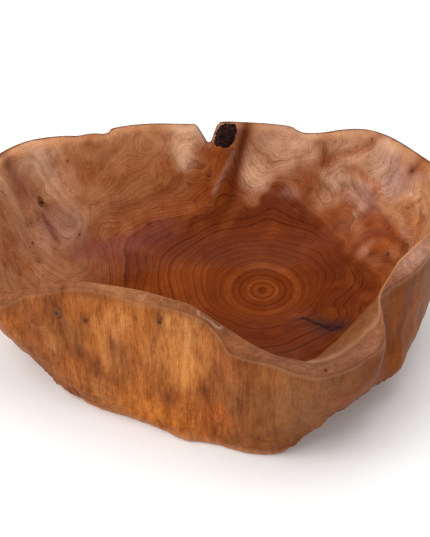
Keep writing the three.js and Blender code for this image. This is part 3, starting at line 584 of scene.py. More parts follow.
# local patches: centre, radius, tone, strength; the brightest patches are painted highlights, the pale ones painted
# highlights on lighter wood, and the pink ones on the back-right wall partly painted highlights
for c_, r_, name_, k_ in [
    ((-21, 138, 112), 11, "painted_highlight", 1.0), ((-20, 137, 104), 7, "painted_highlight", 0.6), ((-22, 134, 95), 7, "pale_wood_and_highlight", 0.8), ((-14, 139, 124), 8, "pale_wood_and_highlight", 0.5), ((-147, 120, 106), 11, "pale_wood_and_highlight", 0.65), ((-137, 120, 90), 9, "pale_wood_and_highlight", 0.45), ((-128, 116, 76), 8, "pale_wood_and_highlight", 0.3),
    ((33, 136, 83), 9, "painted_highlight", 0.75), ((28, 137, 94), 8, "pale_wood_and_highlight", 0.8), ((39, 134, 75), 6, "pale_wood_and_highlight", 0.75), ((31, 140, 108), 9, "pale_wood_and_highlight", 0.45), ((45, 132, 75), 9, "painted_highlight", 0.75), ((66, 130, 66), 7, "pink", 0.85), ((73, 127, 58), 6, "pink", 0.55), ((62, 139, 108), 18, "painted_highlight", 0.44), ((71, 139, 103), 11, "painted_highlight", 0.40), ((46, 137, 92), 13, "painted_highlight", 0.35),
    ((88, 138, 108), 13, "painted_highlight", 0.32), ((112, 136, 108), 12, "painted_highlight", 0.65), ((107, 129, 73), 9, "painted_highlight", 0.45), ((133, 118, 67), 8, "pink", 0.8), ((-140, 96, 53), 10, "pink", 0.5), ((-172, 96, 100), 12, "pale_wood_and_highlight", 0.25), ((144, 82, 44), 8, "amber", 1.2), ((137, 91, 46), 7, "amber", 0.9), ((151, 83, 52), 7, "amber", 0.8), ((133, 82, 38), 5, "tan", 0.6), ((-104, 90, 33), 13, "heart", 0.6), ((-150, 96, 66), 8, "grey", 0.5), ((122, 134, 100), 9, "painted_highlight", 0.3), ((108, 134, 90), 8, "pale_wood_and_highlight", 0.7), ((103, 131, 80), 6, "pale_wood_and_highlight", 0.6), ((147, 125, 112), 10, "pale_wood_and_highlight", 1.0), ((145, 125, 99), 8, "pale_wood_and_highlight", 0.85), ((155, 116, 110), 8, "pink", 0.8),
    ((160, 110, 95), 8, "pink", 0.85), ((134, 120, 71), 6, "pink", 0.9), ((128, 126, 78), 6, "pale_wood_and_highlight", 0.8), ((119, 130, 83), 5, "pale_wood_and_highlight", 0.6), ((104, 134, 99), 6, "orange", 0.55), ((95, 133, 80), 5, "orange", 0.5), ((92, 128, 68), 6, "orange", 0.4), ((114, 127, 70), 5, "brown", 0.45),
    ((140, 116, 74), 6, "purple", 0.4), ((150, 94, 62), 7, "orange", 0.5), ((178, 88, 88), 9, "pale_wood_and_highlight", 0.20), ((170, 88, 80), 8, "tan", 0.5), ((148, 84, 48), 5, "pale_wood_and_highlight", 0.30), ((138, 88, 44), 5, "pale_wood_and_highlight", 0.35), ((157, 76, 50), 7, "orange", 0.75), ((144, 84, 55), 9, "orange", 0.6),
    ((-60, 135, 96), 12, "honey", 0.5), ((-30, 130, 78), 7, "brown", 0.5), ((-38, 134, 92), 8, "orange", 0.35), ((-90, 125, 84), 12, "orange", 0.3), ((-108, 125, 92), 9, "orange", 0.45), ((-8, 137, 106), 8, "orange", 0.6), ((-12, 133, 88), 9, "orange", 0.45),
    ((8, 138, 104), 9, "orange", 0.6), ((13, 136, 90), 8, "heart_light", 0.7), ((0, 130, 75), 10, "heart_light", 0.75), ((24, 143, 122), 5, "pink", 0.6)]:
    wall_tone = toward(wall_tone, name_, k_ * spot(c_, r_))
wall_tone = toward(wall_tone, "orange", 0.55 * (1 - smooth(112, 132, ring_clean + 6 * fbm(P / 9.0 + 24, 3))) * side_x * m_in)
# streaks of tone that break up the figure on the walls; the bright and pale streaks on the right wall are painted
# highlights on lighter wood
broken = 0.55 + 0.9 * fbm(P / 6.0 + 143, 3)
PW = P + 3.0 * np.c_[fbm(P / 12.0 + 15, 3), fbm(P / 12.0 + 55, 3), fbm(P / 12.0 + 95, 3)]
for path_, w_s, name_, k_ in [
    ([(125.5, 132.3, 92.9), (134.1, 125.3, 83.9), (142.4, 116.6, 79.2), (151.7, 105.6, 79.2)], 3.2, "orange", 0.75),
    ([(77.7, 135.1, 93.2), (82.4, 130.4, 75.5), (88.9, 125.2, 61.1)], 3.0, "orange", 0.55),
    ([(96.3, 137.3, 110.2), (99.3, 135.3, 98.2), (100.5, 133.0, 87.3), (97.3, 130.0, 75.8)], 2.4, "brown", 0.6),
    ([(108.4, 132.0, 84.9), (117.4, 128.9, 76.5), (126.1, 122.4, 68.2), (131.9, 113.5, 60.4)], 3.0, "pale_wood_and_highlight", 0.65),
    ([(121.9, 117.8, 57.6), (130.2, 111.5, 56.6), (138.3, 103.2, 56.9), (150.1, 91.6, 58.5), (159.3, 78.8, 57.9), (161.0, 67.7, 53.2)], 3.4, "amber", 0.75),
    ([(161.8, 96.0, 82.4), (170.6, 91.3, 93.6), (179.1, 85.0, 105.7)], 3.6, "painted_highlight", 0.55),
    ([(160.3, 90.2, 70.9), (169.3, 86.5, 82.6), (179.3, 79.4, 95.4)], 3.4, "orange", 0.7),
    ([(104.7, 121.4, 55.2), (110.8, 112.5, 45.3), (117.3, 101.3, 39.1)], 3.0, "orange", 0.6),
    ([(55.6, 141.0, 115.0), (64.4, 139.0, 106.1), (77.5, 136.6, 101.5), (94.7, 136.7, 106.5), (107.4, 137.8, 113.9)], 3.0, "orange", 0.45),
    ([(136.2, 129.0, 97.0), (139.8, 123.2, 87.4), (146.3, 113.4, 81.3)], 3.6, "orange", 0.6),
    ([(93.9, 128.8, 71.3), (97.6, 125.6, 62.9), (104.7, 123.1, 58.3)], 2.4, "pale_wood_and_highlight", 0.5),
    ([(116.6, 134.8, 98.5), (121.3, 131.8, 88.1), (118.2, 128.5, 75.7)], 3.0, "honey", 0.5),
    ([(-44.9, 114.9, 43.7), (-27.2, 118.3, 48.8), (-9.6, 121.4, 53.1), (-2.6, 124.2, 57.5)], 2.6, "orange", 0.5),
    ([(-116.9, 127.8, 113.0), (-104.6, 126.3, 98.7), (-96.4, 124.7, 86.4)], 2.6, "orange", 0.45),
    ([(-122.7, 115.6, 69.5), (-109.7, 119.9, 75.0), (-96.5, 123.5, 82.0), (-83.6, 127.5, 84.6), (-68.8, 131.2, 88.5)], 2.0, "brown", 0.35),
]:
    d_s, u_s = line_distance(PW, path_)
    wall_tone = toward(wall_tone, name_, k_ * np.clip(broken, 0.2, 1.2) * np.exp(-((d_s / (w_s * (0.5 + 0.9 * np.sin(np.pi * np.clip(u_s, 0.06, 0.94))))) ** 2)))
wall_tone = toward(wall_tone, "brown", 0.55 * g("shelf", 6.5) + 0.35 * g("dmark", 4))
wall_tone = toward(wall_tone, "orange", 0.65 * g("valley", 6) + 0.4 * g("pillar", 12))
# pale zigzag ridge: lighter wood, with a painted highlight along its crest
wall_tone = toward(wall_tone, "pale_wood_and_highlight", 0.75 * g("zigzag", 3.6))
# the purple along the left-back grooves is painted shade in the grooves
wall_tone = toward(wall_tone, "purple", 0.55 * g("pmark", 5) + 0.60 * g("lgroove", 5.5) * (1 - 0.6 * along["lgroove"]) + 0.5 * g("lgroove2", 3.5))
wall_tone = toward(wall_tone, "heart", 0.75 * g("arch", 4.2))
wall_tone = toward(wall_tone, "heart", 0.80 * g("seam_right", 8.0))
wall_tone = toward(wall_tone, "brown", 0.35 * spot((-130, 73, 33), 14))
wall_tone = toward(wall_tone, "umber", 0.60 * g("rmark", 3.2) + 0.72 * g("seam_right", 3.2) + 0.3 * g("seam_left", 4.0))
wall_tone = toward(wall_tone, "heart_dark", 0.55 * g("seam_right", 3.6))
wall_tone = toward(wall_tone, "grey", 0.70 * g("streak", 2.6))
# painted highlight along the crests of the left ridges
wall_tone = toward(wall_tone, "pale_wood_and_highlight", 0.45 * g("lridge", 3.4) * (1 - along["lridge"]) + 0.25 * g("lridge2", 3.2))
heart_tone = toward(fill("heart"), "heart_dark", 0.45 * smooth(-0.5, 0.8, fbm(P / 28.0 + 12, 3)))
heart_tone = toward(heart_tone, "heart_light", 0.30 * smooth(60, 16, d_pith) + 0.35 * smooth(0.1, 0.8, fbm(P / 22.0 + 33, 3)))
heart_tone = toward(heart_tone, "heart_light", 0.50 * spot((-28, 62, 19), 30))
heart_tone = toward(heart_tone, "purple", 0.32 * np.exp(-(dist["check_core"] / 10.0) ** 2))
heart_tone = toward(heart_tone, "heart_dark", 0.45 * smooth(70, 130, P[:, 0]) * smooth(110, 40, P[:, 1]) + 0.3 * smooth(20, -30, P[:, 1]))
heart_tone = heart_tone * np.array([0.93, 0.92, 0.92])
tone = wall_tone + (heart_tone - wall_tone) * heart[:, None]
tone = toward(tone, "purple", 0.75 * g("purple", 11) * m_in)
tone = toward(tone, "dark", 0.60 * np.exp(-(line_distance(P, [(87, 5, 19), (97, -2, 20), (108, -5, 23)])[0] / 9.5) ** 2) * m_in)

out_tone = paint(fill("out_honey"), [
    ((-137, -71, 92), 20, "out_honey", 1.2), ((-115, -79, 69), 18, "out_brown", 1.0), ((-113, -80, 96), 13, "out_umber", 1.4), ((-83, -91, 79), 22, "out_gold", 1.5), ((-95, -86, 105), 20, "out_honey", 2),
    ((-100, -84, 84), 14, "out_brown", 1.6), ((-60, -101, 104), 22, "out_gold", 2.2), ((-72, -96, 96), 13, "out_pale", 1.2), ((-24, -114, 100), 17, "out_pale", 2.6), ((-22, -115, 78), 18, "out_pale", 3.0), ((-15, -118, 86), 12, "out_pale", 2.0),
    ((-52, -105, 66), 22, "out_honey", 2.4), ((-40, -107, 44), 17, "out_brown", 1.4), ((-54, -103, 26), 22, "out_gold", 3.4),
    ((-23, -116, 12), 22, "out_gold", 3.0), ((-94, -85, 20), 24, "out_honey", 2), ((22, -137, 59), 22, "out_brown", 2.2), ((22, -138, 89), 12, "out_honey", 1.5), ((8, -127, 32), 9, "orange", 5), ((-8, -121, 26), 16, "out_honey", 2),
    ((44, -141, 78), 18, "out_brown", 1.6), ((52, -142, 54), 24, "out_brown", 2.2), ((41, -137, 20), 20, "out_brown", 2.0), ((87, -146, 77), 20, "out_brown", 3), ((67, -135, 28), 22, "out_brown", 2.4),
    # the umber blobs under and beside the flared lobe are painted shade
    ((109, -135, 82), 22, "out_brown", 2.5), ((122, -112, 70), 20, "out_umber", 1.6), ((118, -108, 40), 22, "out_honey", 1.6), ((138, -78, 70), 22, "out_umber", 1.2), ((146, -62, 85), 20, "out_brown", 3), ((158, -48, 94), 18, "out_honey", 2),
    ((143, -71, 53), 20, "out_brown", 2), ((176, -20, 80), 40, "out_brown", 2.5), ((190, 40, 80), 50, "out_honey", 1.5), ((120, 130, 70), 60, "out_brown", 1.6), ((20, 146, 70), 46, "out_honey", 1.5), ((-80, 130, 70), 50, "out_brown", 1.2),
    ((-190, 40, 70), 50, "out_gold", 1.6), ((-160, -50, 60), 34, "out_honey", 2),
])
for c_, r_, name_, k_ in [
    ((-54, -103, 24), 17, "out_gold", 0.9), ((-23, -116, 12), 14, "out_gold", 0.9), ((-40, -108, 18), 14, "out_gold", 0.6), ((-22, -115, 82), 10, "out_pale", 0.30), ((-26, -113, 96), 9, "out_pale", 0.6), ((-14, -118, 74), 8, "out_pale", 0.6),
    ((-66, -98, 108), 9, "out_pale", 0.5), ((-72, -96, 92), 8, "out_pale", 0.5), ((-68, -98, 74), 12, "out_brown", 0.80), ((8, -127, 34), 7, "orange", 0.8), ((8, -127, 26), 6, "gold", 0.5), ((-4, -121, 24), 8, "orange", 0.4),
    ((-113, -80, 92), 8, "out_umber", 0.7), ((-102, -84, 80), 8, "out_umber", 0.5), ((-94, -87, 92), 5, "out_umber", 0.55), ((-73, -95, 77), 5, "out_umber", 0.7), ((-89, -88, 49), 8, "out_umber", 0.75), ((-100, -83, 62), 7, "out_umber", 0.7), ((-86, -90, 56), 8, "out_umber", 0.35),
    ((-37, -111, 108), 6, "out_umber", 0.5), ((-54, -104, 108), 5, "out_umber", 0.4), ((-30, -113, 40), 7, "out_umber", 0.55), ((-3, -121, 55), 6, "out_umber", 0.7), ((-7, -120, 66), 5, "out_umber", 0.5), ((-42, -108, 48), 9, "out_brown", 0.6), ((4, -125, 62), 7, "out_brown", 0.6),
    ((20, -136, 54), 6, "out_umber", 0.55), ((16, -134, 44), 5, "out_umber", 0.5), ((-70, -97, 46), 11, "out_brown", 0.5), ((60, -145, 60), 14, "out_umber", 0.3), ((88, -146, 70), 14, "out_umber", 0.3), ((30, -136, 10), 12, "out_umber", 0.5), ((46, -142, 86), 10, "out_gold", 0.35), ((66, -147, 68), 24, "out_olive", 0.75), ((-86, -88, 22), 17, "out_pale", 0.35),
    # these red-brown and umber patches under and beside the flared lobe are painted shade over red-brown wood
    ((140, -72, 60), 30, "out_red_brown_and_shade", 0.85), ((128, -90, 36), 26, "out_red_brown_and_shade", 0.85), ((158, -50, 90), 26, "out_red_brown_and_shade", 0.6), ((112, -112, 50), 18, "out_red_brown_and_shade", 0.75), ((118, -130, 80), 14, "out_red_brown_and_shade", 1.3), ((110, -130, 64), 14, "out_umber", 0.9), ((120, -124, 82), 11, "out_umber", 1.2), ((98, -134, 60), 15, "out_red_brown_and_shade", 0.75), ((134, -84, 80), 13, "out_umber", 0.9), ((96, -110, 20), 18, "out_umber", 0.4)]:
    out_tone = toward(out_tone, name_, k_ * (0.50 if name_ == "out_umber" else 1.0) * spot(c_, r_, (1, 1, 1.5)))
out_tone = out_tone * (1 + 0.16 * fbm(P / np.array([12.0, 12.0, 30.0]) + 19, 3))[:, None]
out_tone = toward(out_tone, "out_umber", 0.15 * smooth(0.20, 0.9, fbm(P / np.array([9.0, 9.0, 24.0]) + 29, 3)))
out_tone = toward(out_tone, "out_pale", 0.40 * smooth(0.20, 0.9, fbm(P / np.array([8.0, 8.0, 26.0]) + 129, 3)) * smooth(60, -20, P[:, 0]))
for path_, w_s, name_, k_ in [
    ([(-18.9, -116.0, 119.7), (-16.9, -116.9, 107.5), (-14.8, -117.8, 93.2), (-13.5, -118.5, 78.5)], 2.6, "out_pale", 0.9), ([(-10.2, -118.7, 118.1), (-8.1, -119.1, 103.6), (-7.5, -119.4, 87.8)], 2.2, "out_pale", 0.85),
    ([(-86.2, -89.7, 99.2), (-83.8, -90.5, 83.6), (-81.5, -91.3, 67.8), (-79.1, -92.5, 51.0)], 3.4, "out_pale", 0.6), ([(-28.0, -112.6, 101.2), (-25.3, -113.8, 88.0), (-21.7, -115.5, 72.2), (-18.9, -117.2, 57.0)], 3.6, "out_pale", 0.8),
    ([(-66.2, -99.2, 118.7), (-63.7, -100.3, 105.6), (-61.3, -101.1, 87.3)], 3.6, "out_pale", 0.6), ([(-109.3, -81.8, 110.1), (-105.6, -82.5, 96.5), (-102.5, -83.2, 82.6)], 3.0, "out_gold", 0.5),
    ([(-40.0, -109.1, 127.2), (-39.5, -109.2, 117.2), (-36.8, -109.9, 106.6)], 2.4, "out_umber", 0.75), ([(-117.3, -79.7, 105.7), (-114.8, -80.1, 96.5), (-110.8, -80.8, 86.5)], 3.4, "out_umber", 0.8),
    ([(-104.1, -82.3, 69.2), (-101.3, -83.1, 63.0), (-99.2, -83.8, 57.7)], 3.0, "out_umber", 0.7), ([(-89.1, -88.0, 56.2), (-87.8, -88.7, 49.8), (-87.3, -89.0, 44.1)], 3.0, "out_umber", 0.8),
    ([(-14.5, -116.5, 124.1), (-12.4, -118.3, 115.0), (-10.9, -118.9, 98.8)], 2.0, "out_umber", 0.55), ([(-55.7, -104.0, 119.6), (-55.2, -104.2, 113.3), (-53.9, -104.6, 106.2)], 2.2, "out_umber", 0.55),
    ([(3.6, -124.1, 87.0), (5.0, -125.3, 80.3), (6.5, -126.4, 71.7)], 2.4, "out_umber", 0.75), ([(-5.4, -120.4, 56.8), (-3.9, -121.1, 49.6), (-3.2, -121.8, 42.2)], 3.0, "out_umber", 0.75),
    ([(-33.6, -111.5, 42.2), (-30.6, -113.0, 36.6), (-29.2, -114.0, 27.3)], 3.0, "out_umber", 0.55), ([(19.1, -136.2, 60.6), (22.1, -136.3, 51.0), (24.4, -136.0, 40.8)], 2.6, "out_umber", 0.7),
    ([(2.8, -124.5, 28.5), (4.3, -124.9, 18.8), (5.1, -123.7, 7.4)], 2.6, "out_umber", 0.5)]:
    d_s, u_s = line_distance(P + 1.6 * np.c_[fbm(P / 9.0 + 15, 2), np.zeros(len(P)), np.zeros(len(P))], path_)
    out_tone = toward(out_tone, name_, k_ * (0.42 if name_ == "out_umber" else 1.0) * np.exp(-((d_s / (w_s * (0.55 + 0.9 * np.sin(np.pi * np.clip(u_s, 0.04, 0.96))))) ** 2)))
foot_dark = (1 - smooth(1, 12, P[:, 2])) * m_out
out_tone = toward(out_tone, "out_gold", 0.30 * spot((-15, -118, 66), 20, (1, 1, 1.5)))
out_tone = toward(out_tone, "out_umber", 0.35 * foot_dark)
# painted shade: the outer wall is darkened just below the rim, where the top lighting falls on the edge
out_tone = out_tone * (1 - 0.18 * smooth(i_rim - 7, i_rim - 1, rowf))[:, None]

rim_tone = paint(fill("rim"), [
    ((-110, -80, 118), 24, "rim", 1.6), ((-60, -100, 128), 28, "rim_pale", 3), ((-20, -112, 126), 14, "rim", 2), ((4, -120, 118), 10, "out_umber", 1.4), ((22, -131, 107), 16, "rim", 1.6), ((50, -143, 100), 16, "rim_grey", 2.0), ((79, -147, 97), 18, "rim_grey", 4),
    ((113, -130, 101), 18, "rim_grey", 4), ((127, -116, 107), 12, "rim_grey", 2), ((118, -103, 107), 13, "honey", 5.0), ((112, -112, 104), 9, "rim_pale", 2.0), ((140, -66, 114), 16, "rim_grey", 3), ((160, -35, 117), 22, "grey", 1.6), ((186, 20, 118), 30, "rim_pale", 2), ((-14, 143, 122), 9, "pink", 3),
])
rim_tone = rim_tone * (1 + 0.22 * fbm(P / 7.0 + 14, 3))[:, None]
# painted shade along the outer rim edge on the front and right
rim_tone = rim_tone * (1 - 0.08 * np.exp(-(((rowf - i_rim - 1.0) / 2.6) ** 2)) * smooth(-60, 10, P[:, 0]))[:, None]
lip_zone = smooth(30, 6, line_distance(P, [(84.5, -130, 97), (96.5, -113, 97), (106, -101, 100), (114, -92, 103), (121, -86, 107), (128, -77, 111)])[0]) * m_in * (P[:, 2] > 80)
tone = tone + (np.array([0.162, 0.048, 0.0115]) - tone) * (0.95 * lip_zone)[:, None]
# painted shade along the inner rim edge at the front right, and on the front inner wall behind the lip
inner_rim_edge_shade = np.exp(-(((rowf - (i_in - 1.5)) / 3.2) ** 2)) * smooth(-84, -104, P[:, 1]) * smooth(20, 60, P[:, 0])
front_inner_shade = m_in * smooth(-50, -80, P[:, 1]) * (P[:, 2] > 30) * smooth(40, 70, P[:, 0])
tone = tone * (1 - 0.30 * front_inner_shade * (1 - lip_zone))[:, None]

tone = tone + (out_tone - tone) * m_out[:, None]
back_side = smooth(60, 100, P[:, 1])
rim_mix = smooth(i_rim - 3.0, i_rim + 1.0, rowf) * (1 - smooth(i_in - 4, i_in + 1, rowf))
# at the back the rim takes the wall tone, darkened as painted shade
rim_col = rim_tone + (wall_tone * 0.80 - rim_tone) * (back_side * smooth(i_rim + 5, i_rim + 11, rowf))[:, None]
tone = tone + (rim_col - tone) * rim_mix[:, None]
# painted highlight on the upper edge of the rim fissure
tone = toward(tone, "pale_wood_and_highlight", 0.28 * np.exp(-(((dist["rim_fissure"] - 3.0) / 1.2) ** 2)) * np.clip(m_rim + m_in, 0, 1) * (P[:, 2] > 112))
tone = tone * (1 - 0.34 * inner_rim_edge_shade)[:, None]
under_tone = toward(fill("out_honey"), "out_brown", 0.4 + 0.4 * smooth(-0.5, 0.8, fbm(P / 40.0, 3)))
tone = tone + (under_tone - tone) * m_under[:, None]

# dark marks: seams, checks, fissure (partly painted shade), pockets, rims of knots, and a painted shade line along the
# back rim
dark = 0.12 * g("seam_right", 2.0) * m_in * (1 - 0.45 * along["seam_right"])
dark = np.maximum(dark, 0.46 * np.exp(-(dist["check_core"] / 8.5) ** 2) * smooth(0.10, 0.7, along["check_core"]) * m_in)
dark = np.maximum(dark, 0.92 * np.maximum(g("check_core", 2.4), 0.55 * np.maximum(g("check_branch", 1.8), g("check_branch2", 2.0))) * m_in)
# the rim fissure: the crack's own dark plus painted shade in it
dark = np.maximum(dark, 0.42 * np.clip(fissure, 0, 1))
dark = np.maximum(dark, 0.85 * pocket * (m_in + m_rim) * (P[:, 1] > 120))
dark = np.maximum(dark, 0.3 * g("dark_right", 4) * m_out)
dark = np.maximum(dark, 0.55 * g("back_groove", 4) * m_out)
notch_face = m_rim * smooth(127.5, 124.5, P[:, 2]) * (np.abs(P[:, 0] + 0.5) < 14) * (P[:, 1] > 120)
dark = np.maximum(dark, 0.75 * notch_face * smooth(-2, 2, P[:, 0]))
dark = np.maximum(dark, 0.25 * notch_face)
# painted shade line along the outer edge of the back rim
dark = np.maximum(dark, 0.30 * back_side * smooth(i_rim - 1, i_rim + 2, rowf) * (1 - smooth(i_rim + 4, i_rim + 8, rowf)))
dark = np.clip(dark, 0, 1)

swirl_w = np.zeros(len(P))
for x_, y_, z_, r_ in SWIRLS:
    swirl_w += 1.3 * spot((x_, y_, z_), r_ * 2.6)
low_left = m_out * smooth(60, 20, P[:, 2]) * smooth(-20, -80, P[:, 0])
ringw = np.clip(0.95 * heart + 0.86 * m_wallin * (1 - heart) + 0.62 * m_rim + 0.08 * m_out + 0.6 * low_left + 0.9 * m_under + 0.7 * swirl_w + 0.9 * m_floor * m_in, 0, 1)
streakw = np.clip(m_out * (1 - 0.40 * smooth(10, 60, P[:, 0]) * (P[:, 1] < 0)) + 0.20 * m_wallin * (1 - heart) + 0.20 * m_rim, 0, 1)

# ---------------------------------------------------------------- mesh
V = np.vstack([P, [[SHIFT[0], SHIFT[1], 0.0]], [[FLOOR_CENTRE[0] + SHIFT[0], FLOOR_CENTRE[1] + SHIFT[1], float(P.reshape(COLS, ROWS, 3)[:, -1, 2].mean())]]]) / 1000.0
cc, rr = np.meshgrid(np.arange(COLS), np.arange(ROWS - 1), indexing="ij")
a_ = cc * ROWS + rr
b_ = ((cc + 1) % COLS) * ROWS + rr
quads = np.stack([a_, b_, b_ + 1, a_ + 1], -1).reshape(-1, 4)
c0 = np.arange(COLS) * ROWS
c1 = np.roll(c0, -1)
fan_under = np.stack([np.full(COLS, len(P)), c1, c0], 1)
fan_floor = np.stack([np.full(COLS, len(P) + 1), c0 + ROWS - 1, c1 + ROWS - 1], 1)


def new_mesh(name, verts, quads, tris=None):
    me = bpy.data.meshes.new(name)
    nq, nt = len(quads), 0 if tris is None else len(tris)
    loops = np.concatenate([np.asarray(quads).reshape(-1), np.asarray(tris).reshape(-1)]) if nt else np.asarray(quads).reshape(-1)
    me.vertices.add(len(verts))
    me.vertices.foreach_set("co", np.asarray(verts, np.float32).reshape(-1))
    me.loops.add(len(loops))
    me.loops.foreach_set("vertex_index", loops.astype(np.int32))
    me.polygons.add(nq + nt)
    starts = np.concatenate([np.arange(nq) * 4, nq * 4 + np.arange(nt) * 3]).astype(np.int32)
    me.polygons.foreach_set("loop_start", starts)
    me.polygons.foreach_set("use_smooth", np.ones(nq + nt, bool))
    me.update(calc_edges=True)
    me.validate()
    ob = bpy.data.objects.new(name, me)
    bpy.context.scene.collection.objects.link(ob)
    return ob


def put(ob, name, values):
    values = np.asarray(values, np.float32)
    if values.ndim == 1:
        at = ob.data.attributes.new(name, "FLOAT", "POINT")
        at.data.foreach_set("value", values)
    else:
        at = ob.data.attributes.new(name, "FLOAT_COLOR", "POINT")
        at.data.foreach_set("color", np.c_[values, np.ones(len(values))].astype(np.float32).reshape(-1))


bowl = new_mesh("bowl_body_carved", V, quads, np.vstack([fan_under, fan_floor]))
ext = lambda a, u, f: np.concatenate([a, [u], [f]])
put(bowl, "ring", ext(ring, ring[0], ring[ROWS - 1]))
put(bowl, "tone", np.vstack([np.clip(tone, 0, 1), under_tone[:1], np.clip(tone[ROWS - 1 : ROWS], 0, 1)]))
put(bowl, "dark", ext(dark, 0, 0))
put(bowl, "ringw", ext(ringw, 0.9, 1))
put(bowl, "streakw", ext(streakw, 0, 0))
put(bowl, "rimw", ext(np.clip(m_rim, 0, 1), 0, 0))
put(bowl, "heart", ext(heart, 0, 1))


# =====================================================================================================
# 4. node helpers
# =====================================================================================================
class Graph:
    def __init__(self, name):
        self.mat = bpy.data.materials.new(name)
        self.mat.use_nodes = True
        self.t = self.mat.node_tree
        self.t.nodes.clear()
        self.out = self.t.nodes.new("ShaderNodeOutputMaterial")
        self.bsdf = self.t.nodes.new("ShaderNodeBsdfPrincipled")
        self.link(self.bsdf.outputs[0], self.out.inputs[0])

    def link(self, a, b):
        self.t.links.new(a, b)

    def put(self, socket, v):
        if hasattr(v, "is_output"):
            self.link(v, socket)
        elif isinstance(v, (tuple, list)):
            v = tuple(v)
            socket.default_value = v + (1.0,) if len(v) == 3 and len(socket.default_value) == 4 else v
        else:
            socket.default_value = v

    def math(self, op, a, b=None, c=None, clamp=False):
        n = self.t.nodes.new("ShaderNodeMath")
        n.operation = op
        n.use_clamp = clamp
        for k, v in enumerate((a, b, c)):
            if v is not None:
                self.put(n.inputs[k], v)
        return n.outputs[0]

    def vmath(self, op, a, b=None, out=0):
        n = self.t.nodes.new("ShaderNodeVectorMath")
        n.operation = op
        self.put(n.inputs[0], a)
        if b is not None:
            self.put(n.inputs[1], b)
        return n.outputs[out]

    def attr(self, name, out="Fac"):
        n = self.t.nodes.new("ShaderNodeAttribute")
        n.attribute_name = name
        return n.outputs[out]

    def coords(self):
        return self.t.nodes.new("ShaderNodeTexCoord").outputs["Object"]

    def noise(self, vec, scale, detail=3.0, rough=0.5, distort=0.0, out="Fac"):
        n = self.t.nodes.new("ShaderNodeTexNoise")
        self.put(n.inputs["Vector"], vec)
        n.inputs["Scale"].default_value = scale
        n.inputs["Detail"].default_value = detail
        n.inputs["Roughness"].default_value = rough
        n.inputs["Distortion"].default_value = distort
        return n.outputs[out]

    def voronoi(self, vec, scale, feature="F1", out="Distance"):
        n = self.t.nodes.new("ShaderNodeTexVoronoi")
        n.feature = feature
        self.put(n.inputs["Vector"], vec)
        n.inputs["Scale"].default_value = scale
        return n.outputs[out]

    def range(self, v, a, b, c=0.0, d=1.0, smooth=True):
        n = self.t.nodes.new("ShaderNodeMapRange")
        n.interpolation_type = "SMOOTHSTEP" if smooth else "LINEAR"
        self.put(n.inputs[0], v)
        for k, x in enumerate((a, b, c, d)):
            self.put(n.inputs[k + 1], x)
        return n.outputs[0]

    def mix(self, f, a, b, mode="MIX"):
        n = self.t.nodes.new("ShaderNodeMix")
        n.data_type = "RGBA"
        n.blend_type = mode
        n.clamp_factor = True
        self.put(n.inputs[0], f)
        self.put(n.inputs[6], a)
        self.put(n.inputs[7], b)
        return n.outputs[2]

    def grey(self, v):
        n = self.t.nodes.new("ShaderNodeCombineColor")
        for k in range(3):
            self.put(n.inputs[k], v)
        return n.outputs[0]

    def hsv(self, col, h=0.5, s=1.0, v=1.0):
        n = self.t.nodes.new("ShaderNodeHueSaturation")
        self.put(n.inputs["Hue"], h)
        self.put(n.inputs["Saturation"], s)
        self.put(n.inputs["Value"], v)
        self.put(n.inputs["Color"], col)
        return n.outputs[0]

    def bump(self, height, strength, distance, normal=None):
        n = self.t.nodes.new("ShaderNodeBump")
        n.inputs["Strength"].default_value = strength
        n.inputs["Distance"].default_value = distance
        self.put(n.inputs["Height"], height)
        if normal is not None:
            self.put(n.inputs["Normal"], normal)
        return n.outputs[0]

    def finish(self, color=None, rough=None, normal=None, coat=0.0, coat_rough=0.2, spec=0.5):
        if color is not None:
            self.put(self.bsdf.inputs["Base Color"], color)
        if rough is not None:
            self.put(self.bsdf.inputs["Roughness"], rough)
        if normal is not None:
            self.link(normal, self.bsdf.inputs["Normal"])
        self.bsdf.inputs["Coat Weight"].default_value = coat
        self.bsdf.inputs["Coat Roughness"].default_value = coat_rough
        self.bsdf.inputs["Specular IOR Level"].default_value = spec
        return self.mat


